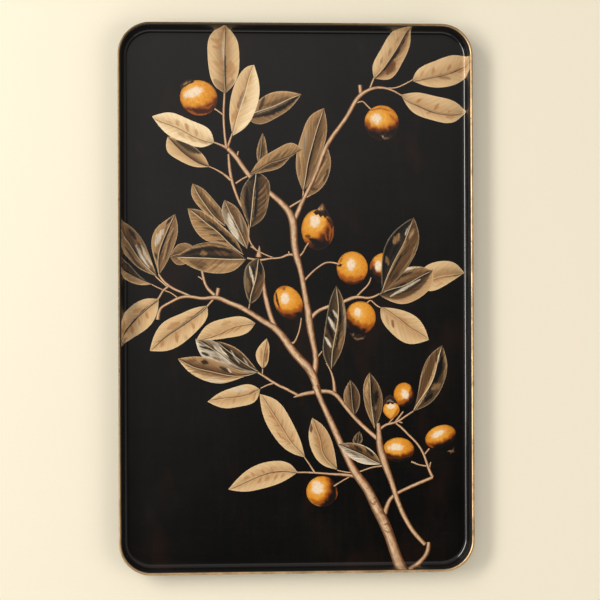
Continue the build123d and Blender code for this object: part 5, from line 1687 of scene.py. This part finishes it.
TRUNK_MARKS = (
    m(T.BROWN, 0.75, 1.1, (65.8, -178.5), (69.5, -177.5), (70.5, -181), (68, -183.3), (65.5, -181.5),
    (65.8, -178.5)), m(T.SAND, 0.7, 1.6, (67.3, -180.7), (68.3, -180)),
    m(T.BROWN, 0.8, 1.2, (76.5, -202.5), (80, -200.5), (84.5, -201.5)),
    m(T.SAND, 0.8, 2.8, (78.5, -205), (81, -204)), m(T.BROWN, 0.7, 1.1, (77, -206), (80, -208), (83.5, -206)),
    m(T.BLACK, 0.7, 1.1, (84, -206), (85, -208)), m(T.RUST, 0.4, 1.4, (41, -127), (52, -150), (62, -166)),
    m(T.BROWN, 0.4, 1.2, (70, -190), (76, -201)), m(T.BROWN, 0.5, 1.6, (78, -193), (73, -188)),
)
FORK_MARKS = (m(T.BROWN, 0.6, 1.1, (6, -60), (12, -66.5)), m(T.BROWN, 0.5, 1.1, (9, -66), (15, -72)),
              m(T.RUST, 0.4, 1.2, (-3, -44), (4, -53)))
BOUGHS = (
    ((93, -242, 10.5), (88, -229, 9.5), (83, -214, 9), (77, -199, 9.5), (70, -185, 9), (62, -169, 8),
     (53, -156.5, 7.5), (45, -142, 6), (38, -127, 6), (30, -109, 5.5), (20.5, -88, 5), (16.5, -78, 5.6)),
    ((20.5, -86, 5), (17, -76, 6.5), (13, -66, 7.5), (3, -54, 7), (-6, -43, 7), (-13, -33, 6.3),
     (-20, -26, 6)),
    ((15, -69, 6), (17, -60, 5.3), (16.8, -50, 5), (14.5, -38, 5.5), (12, -24, 6.5), (10.5, -12, 6),
     (8, 2, 5), (6, 14, 4.8), (3.5, 26, 5), (1, 35, 6), (-1, 45, 6.3), (-1.8, 56, 6.5), (-2.5, 66, 7),
     (-5, 74, 6.5), (-11, 82, 5.5), (-26, 95, 4.6), (-41, 108, 4.3), (-53, 124.5, 4.2),
     (-60, 132, 4.2)),
    ((-1.5, 68, 4), (2, 76, 4.5), (5.5, 84, 4), (12, 97, 3.5), (20, 115, 3.5), (27, 133, 4),
     (33, 143, 4), (46, 161, 3.8), (58, 179.5, 3.8), (65, 184, 3), (73, 186.2, 2.6), (88, 183, 1.6),
     (98, 177.3, 1.2)),
    ((-20, -26, 5.5), (-30, -20, 5), (-40, -13.5, 4.7), (-50, -8, 4.6), (-60, -4, 4.3), (-70, 0, 4),
     (-82, -0.5, 3), (-93, 1, 2.9), (-103, 0, 2.6), (-112, -4.5, 2.4), (-119, -9, 2.6),
     (-122, -19, 4)),
    ((-18, -27, 5), (-22, -18, 4.4), (-25, -8, 4.4), (-27.3, 2, 4), (-28.5, 12, 3), (-29, 24, 1.2)),
    ((72.5, -111.5, 3.2), (73, -118, 4.4), (73.5, -128, 6), (76, -140, 6.8), (79.5, -151, 6),
     (84, -163, 5), (88, -176, 4.6), (92.5, -188, 4.4), (98.5, -200, 4.2), (106, -211, 4),
     (114, -219.5, 3.6)),
    ((117, -217.5, 3.4), (116.5, -224, 4.2), (112.5, -231.5, 4), (106, -236.8, 3.8), (98, -241, 3.4)),
    ((-2.5, -88.2, 0.8), (3, -86.3, 3), (10, -84.7, 3.6), (18, -83.5, 4), (27, -83.2, 3.8),
     (34, -85.5, 3.8), (40, -92, 3.6), (47, -101, 3.6), (55, -110, 3.6), (72, -125.5, 4)),
    ((78, -192, 5), (80.5, -184, 4), (84, -178, 3.5), (91, -173, 3), (104, -167, 3.2),
     (121, -160, 2.8)),
    ((12, -20, 4), (17, -14, 3.6), (24, -9.8, 3.2), (43, -3.4, 3.2), (51, -0.3, 3.2), (56, 0.2, 2.6),
     (64, -0.6, 2.2), (74, 3, 1.8)),
)
TWIGS = (
    ((58, 181, 3.4), (57.5, 188.5, 3.8)),
    ((-61, 132, 2.6), (-62.7, 145, 2.2), (-63.3, 168, 2.2), (-62.5, 181, 1.8)),
    ((-60, 133, 2.4), (-58, 139, 2.2), (-55.6, 146, 1.2)),
    ((-61, 132.5, 3.4), (-66, 134.8, 2.2), (-72, 137.2, 1.4)),
    ((-57.5, 104, 2.8), (-62, 108, 2.2), (-69, 112.5, 1.5), (-76.5, 115.8, 1.2)),
    ((-59.3, 127, 1.8), (-58.5, 116, 2.8), (-56.5, 104, 3), (-53.5, 94, 2.6), (-49.5, 84, 2.4),
     (-45, 75, 1.8), (-41.5, 63, 1.4), (-41.3, 52, 1.4), (-35, 42, 1.5)),
    ((-53, 101, 2), (-47, 105, 1.6), (-40, 108.5, 1.6)),
    ((-63, 161, 1.8), (-67, 164, 1.4), (-71.5, 167, 1.6)),
    ((55, 172.8, 1.4), (60, 173.7, 1.4), (63.5, 170.5, 1.4), (67, 167.3, 1.6)),
    ((66, 184.5, 2), (68, 190, 1.8), (70.5, 196, 1.4)),
    ((78, 186.3, 1.4), (89, 186.2, 1.3), (97, 189.3, 1.4), (104.5, 193.3, 1.4)),
    ((6.4, 86, 2), (6.6, 90, 1.8), (6.8, 96, 1.6)),
    ((-7, 79, 2), (0, 83.3, 2), (7, 87.3, 1.8), (13, 90.5, 1.2)),
    ((2, 35.5, 2), (6, 39.5, 1.6), (9, 45, 1.6), (11.3, 48.3, 1.8)),
    ((7.5, 15, 2.2), (13, 21, 1.9), (20, 27, 1.7), (26, 30.5, 1.6), (32, 31, 1.6), (38.5, 29.3, 1.6)),
    ((0, 37, 2.6), (-6, 38, 2.4), (-13, 35.5, 1.8), (-21, 34.7, 1.8), (-31, 33.4, 2), (-43, 35, 1.8)),
    ((-20, 35.3, 1.2), (-27, 38, 1.2), (-34, 41.5, 1.4), (-40, 45.5, 1.2)),
    ((54, 1, 2), (60, 7, 1.8), (64.5, 12, 1.6), (66.7, 17.5, 1.2)),
    ((-7, -40.5, 3), (-2.5, -40, 2.2), (0.5, -35.5, 1.6), (3.3, -27, 1.5), (4.6, -18, 1)),
    ((63, -5, 1.4), (66, -2.8, 1.3), (70, -5.8, 1.5), (75.5, -9.3, 1.2)),
    ((-70, 1, 3.4), (-68.6, 8.5, 3.6)),
    ((-72, 2.5, 3.2), (-78, 8.5, 2.8), (-81, 15, 2.6), (-83, 24.5, 2.4)),
    ((-94, 2, 2), (-103, 5.7, 2.2), (-112, 10.8, 2.4), (-117, 15.3, 2.2), (-121, 21, 1.6)),
    ((-113, 9.8, 1.8), (-118.5, 14.3, 1.6), (-124, 19.3, 1.3)),
    ((-112.5, 10, 2.2), (-117, 6.5, 2), (-120, 1.5, 1.8), (-123.5, -3, 1.4)),
    ((-105, 0.5, 1.4), (-110, 4.3, 1.2), (-116, 6.6, 1.2), (-127.5, 12.3, 1)),
    ((-67.5, 5.5, 1), (-72, 0, 2), (-79, -8, 1.4)),
    ((-41, -5.5, 1.2), (-42, -11, 1.4)),
    ((1, -86, 2.6), (-6, -82.3, 2.6), (-20, -75, 2.4), (-27, -70.3, 2.2), (-34, -66, 1.8)),
    ((-20, -75.6, 1.8), (-26, -77.5, 1.5), (-31.5, -80, 1.2)),
    ((-30, -68, 1.4), (-29.7, -62, 1)),
    ((16, -155, 2), (12, -148.5, 1.5), (7, -141.3, 1.2)),
    ((53, -159, 3.2), (45, -157.5, 3), (30, -156.3, 2.2), (15, -155, 1.8), (0, -154.5, 1.5)),
    ((76, -149.5, 1.8), (66, -151, 1.4), (56, -154.3, 1.4), (46, -155, 1.3), (36, -153, 1.2)),
    ((48, -158.3, 1.4), (40, -162.7, 1.3), (33, -167, 1.6)),
    ((34, -85, 3.6), (33.2, -75, 2.8), (31, -66.5, 1.6), (26.5, -58, 1)),
    ((73, -118, 2.8), (80, -113, 2.3), (88, -111, 2), (96, -106.3, 1.8), (104, -101.2, 1.6)),
    ((88, -110.5, 2.2), (91.5, -106, 2), (95, -101.5, 1.4)),
    ((88, -111.5, 1.6), (92.5, -115, 2), (99, -121.5, 2), (106, -128.5, 2), (111.5, -136.5, 2),
     (115, -145, 2.2), (117.7, -153, 2.6), (121, -160, 2.8)),
    ((117.5, -150, 1.8), (109.5, -149, 1.4), (102, -145.8, 2)),
    ((113.5, -140, 1.6), (118, -134.5, 1.6)),
    ((-6, 37, 2.2), (-6.3, 41, 1)),
    ((-33, 36, 6), (-32.2, 45.5, 1)),
    ((-81.5, 15.8, 1.8), (-86.5, 19, 0.8)),
    ((18, -54, 2), (23, -47.5, 1.2)),
    ((81, -112.5, 1.4), (86, -107.5, 1.2)),
    ((118, -152, 1.6), (119.3, -146.5, 1.3)),
    ((-52, 125, 2.4), (-50.5, 129.5, 1.2)),
    ((90, -110, 1.6), (94, -111.5, 1)),
)


@dataclass
class StillLife:
    """The painted branch: every piece in painting order, stacked where pieces cross."""

    section: Section = field(default_factory=Section)
    drawn_scale: float = 0.9947
    drawn_shift: Point = (-0.35, 0.4)
    base_lift: float = 0.04
    lift_step: float = 0.022
    half_grid: Tuple[int, int] = (170, 250)  # 1 mm cells on each side of the middle

    def pieces(self) -> List[Tuple[str, Paint, Layer]]:
        """Every painted piece from the back to the front."""
        twigs = [Stroke(f"twig_{i + 1:02d}", Paint.TWIG, s) for i, s in enumerate(TWIGS)]
        marks = {0: TRUNK_MARKS, 1: FORK_MARKS}
        boughs = [
            Stroke(f"bough_{i + 1:02d}", Paint.BOUGH, s, marks=marks.get(i, ())) for i, s in enumerate(BOUGHS)
        ]
        order: List[Tuple[str, Paint, Layer]] = []
        order += [(x.name, x.paint, x.layer()) for x in LEAVES_BEHIND[::-1]]
        order += [(x.name, Paint.FRUIT, x.layer()) for x in FRUITS[::-1]]
        order += [(x.name, x.paint, x.layer()) for x in twigs[::-1]]
        order += [(x.name, x.paint, x.layer()) for x in boughs[::-1]]
        order += [(x.name, x.paint, x.layer()) for x in LEAVES_IN_FRONT[::-1]]
        order += [(x.name, Paint.CROWN, x.layer()) for x in CROWNS]
        return order

    def covered(self, outline: np.ndarray, cells: np.ndarray) -> np.ndarray:
        """Which cells lie inside an outline.

        Args:
            outline: its corners, in mm.
            cells: the cells' places, in mm.

        Returns:
            One truth value for each cell.
        """
        x, y = cells[:, 0], cells[:, 1]
        inside = np.zeros(len(cells), bool)
        for (x0, y0), (x1, y1) in zip(outline, np.roll(outline, -1, axis=0)):
            if y0 == y1:
                continue
            crosses = ((y0 > y) != (y1 > y)) & (x < (x1 - x0) * (y - y0) / (y1 - y0) + x0)
            inside ^= crosses
        return inside

    def paint(self, finishes: Dict[Paint, bpy.types.Material]) -> None:
        """Lays every piece, each above those it crosses.

        Args:
            finishes: the material of each kind of paint.
        """
        half_x, half_y = self.half_grid
        size = (2 * half_x, 2 * half_y)
        stack = np.zeros(size, int)
        for name, paint, layer in self.pieces():
            layer.spots = layer.spots * self.drawn_scale + self.drawn_shift
            outline = layer.outline * self.drawn_scale + self.drawn_shift
            low = np.clip(np.floor(outline.min(0)).astype(int) - 1 + self.half_grid, 0, size)
            high = np.clip(np.ceil(outline.max(0)).astype(int) + 2 + self.half_grid, 0, size)
            gx, gy = np.meshgrid(np.arange(low[0], high[0]), np.arange(low[1], high[1]), indexing="ij")
            cells = np.stack([gx.ravel() - half_x, gy.ravel() - half_y], 1).astype(float)
            hit = self.covered(outline, cells)
            index = (gx.ravel()[hit], gy.ravel()[hit])
            level = 1 + (stack[index].max() if hit.any() else stack[low[0]:high[0], low[1]:high[1]].max())
            stack[index] = level
            lift = self.base_lift + self.lift_step * level
            mesh = layer.slab(name, self.section, lift)
            ridden(mesh, name, finishes[paint], [NODE_OF_PAINT[paint]])
            LOG.info("painted %s at level %d", name, level)


# ------------------------------------------------------------------ surroundings
@dataclass
class Studio:
    """Floor, light and camera."""

    key_power: float = 29.0
    fill_power: float = 3.8
    side_power: float = 11.0
    strip_power: float = 22.0
    camera_place: Tuple[float, float, float] = (-0.06003, -0.01028, 1.2462)
    camera_turn: Tuple[float, float, float] = (0.402, -2.903, -0.199)

    def floor(self, finish: bpy.types.Material) -> None:
        """The pale floor, at the level the tray stands on.

        Args:
            finish: its material.
        """
        reach = 3
        mesh = bpy.data.meshes.new("floor")
        corners = [(-reach, -reach, 0), (reach, -reach, 0), (reach, reach, 0), (-reach, reach, 0)]
        mesh.from_pydata(corners, [], [(0, 1, 2, 3)])
        ground = bpy.data.objects.new("floor", mesh)
        ground.location.z = CAD_BOX[0].z - 0.0001
        mesh.materials.append(finish)
        bpy.context.scene.collection.objects.link(ground)

    def softbox(self, name: str, place: Tuple[float, float, float], size: Point, power: float,
                colour: Tuple[float, float, float], mirrored: bool = True, spread: bool = True) -> None:
        """A rectangular soft light that faces the tray.

        Args:
            name: its name.
            place: where it hangs, in metres.
            size: its width and height, in metres.
            power: in watts.
            colour: of its light.
            mirrored: whether it shows in reflections.
            spread: whether it lights matt surfaces.
        """
        light = bpy.data.lights.new(name, "AREA")
        light.shape = "RECTANGLE"
        light.size, light.size_y = size
        light.energy = power
        light.color = colour
        lamp = bpy.data.objects.new(name, light)
        lamp.location = place
        lamp.visible_glossy = mirrored
        lamp.visible_diffuse = spread
        lamp.rotation_euler = (-Vector(place)).to_track_quat("-Z", "Y").to_euler()
        bpy.context.scene.collection.objects.link(lamp)

    def sky(self) -> None:
        """Dim light from all round, dark right overhead and brighter to the upper left."""
        world = bpy.data.worlds.new("studio_room")
        bpy.context.scene.world = world
        world.use_nodes = True
        web = NodeWeb(world.node_tree)
        way = web.add("ShaderNodeTexCoord", {}, {}).outputs["Generated"]
        x, y, z = web.parts(way)
        low = z.smooth(0.98, 0.55)
        tilt = (y * 1.6 - x * 1.0 + 0.12).smooth(-0.25, 0.65)
        level = low * 0.4 + tilt * (1.0 - low) * 0.66 + 0.03
        back = web.add("ShaderNodeBackground", {}, {"Color": (1.0, 0.975, 0.93, 1.0), "Strength": level})
        web.add("ShaderNodeOutputWorld", {}, {"Surface": back.outputs[0]})

    def camera(self) -> None:
        """The camera, looking down from above."""
        data = bpy.data.cameras.new("camera")
        data.lens = 85
        data.sensor_width = 36
        data.clip_start = 0.05
        camera = bpy.data.objects.new("camera", data)
        camera.location = self.camera_place
        camera.rotation_euler = Euler([math.radians(a) for a in self.camera_turn], "XYZ")
        bpy.context.scene.collection.objects.link(camera)
        bpy.context.scene.camera = camera

    def build(self) -> None:
        """Sets up everything around the tray."""
        self.camera()
        self.floor(Plaster().material())
        self.softbox("key_light", (-1.45, 0.5, 1.1), (1.7, 0.5), self.key_power, (1.0, 0.965, 0.885))
        self.softbox("fill_light", (0.3, -1.5, 1.0), (2.0, 0.5), self.fill_power, (1.0, 0.95, 0.86))
        self.softbox("side_light", (1.5, -0.3, 1.2), (1.4, 1.0), self.side_power, (1.0, 0.96, 0.9), False)
        self.softbox("strip_light", (-1.45, 0.2, 1.35), (2.2, 0.25), self.strip_power, (1.0, 1.0, 0.98), True, False)
        self.sky()


def main() -> None:
    """Builds the tray, its painting and the studio, and logs the pieces it builds."""
    logging.basicConfig(level=logging.INFO)
    bpy.context.scene.view_settings.view_transform = "Standard"
    Studio().build()
    tray = TrayBody()
    face = Lacquer("black_lacquer").material()
    back = Lacquer("back_lacquer", deep=pigment(14, 13, 12), warm=pigment(30, 25, 20), sheen=0.22,
    dust=0.5).material()
    for piece in (tray.face(face), tray.gilded_rim(Gilding("gilding").material()), tray.outer_wall(back)):
        LOG.info("built %s with %d faces", piece.name, len(piece.data.polygons))
    tray.dress_frame({
        "tray_pan": Steel("sheet_steel").material(),
        "edge_wire": Steel("wire_steel", colour=pigment(150, 150, 148), grain=(300.0, 300.0)).material(),
        "base_lacquer": back,
    })
    StillLife().paint({
        Paint.PALE_LEAF: LeafPaint("pale_leaf_paint", 0.14, 0.17, 0.3, 0.6).material(),
        Paint.BRONZE_LEAF: LeafPaint("bronze_leaf_paint", 0.25, 0.62, 0.45, 0.4).material(),
        Paint.SHADED_LEAF: LeafPaint("shaded_leaf_paint", 0.3, 0.85, 0.45, 0.35).material(),
        Paint.BOUGH: BarkPaint("bough_paint", 0.34).material(),
        Paint.TWIG: BarkPaint("twig_paint", 0.26).material(),
        Paint.FRUIT: FruitPaint("fruit_paint").material(),
        Paint.CROWN: BarkPaint("crown_paint", 0.6, 0.2).material(),
    })


if __name__ == "__main__":
    main()
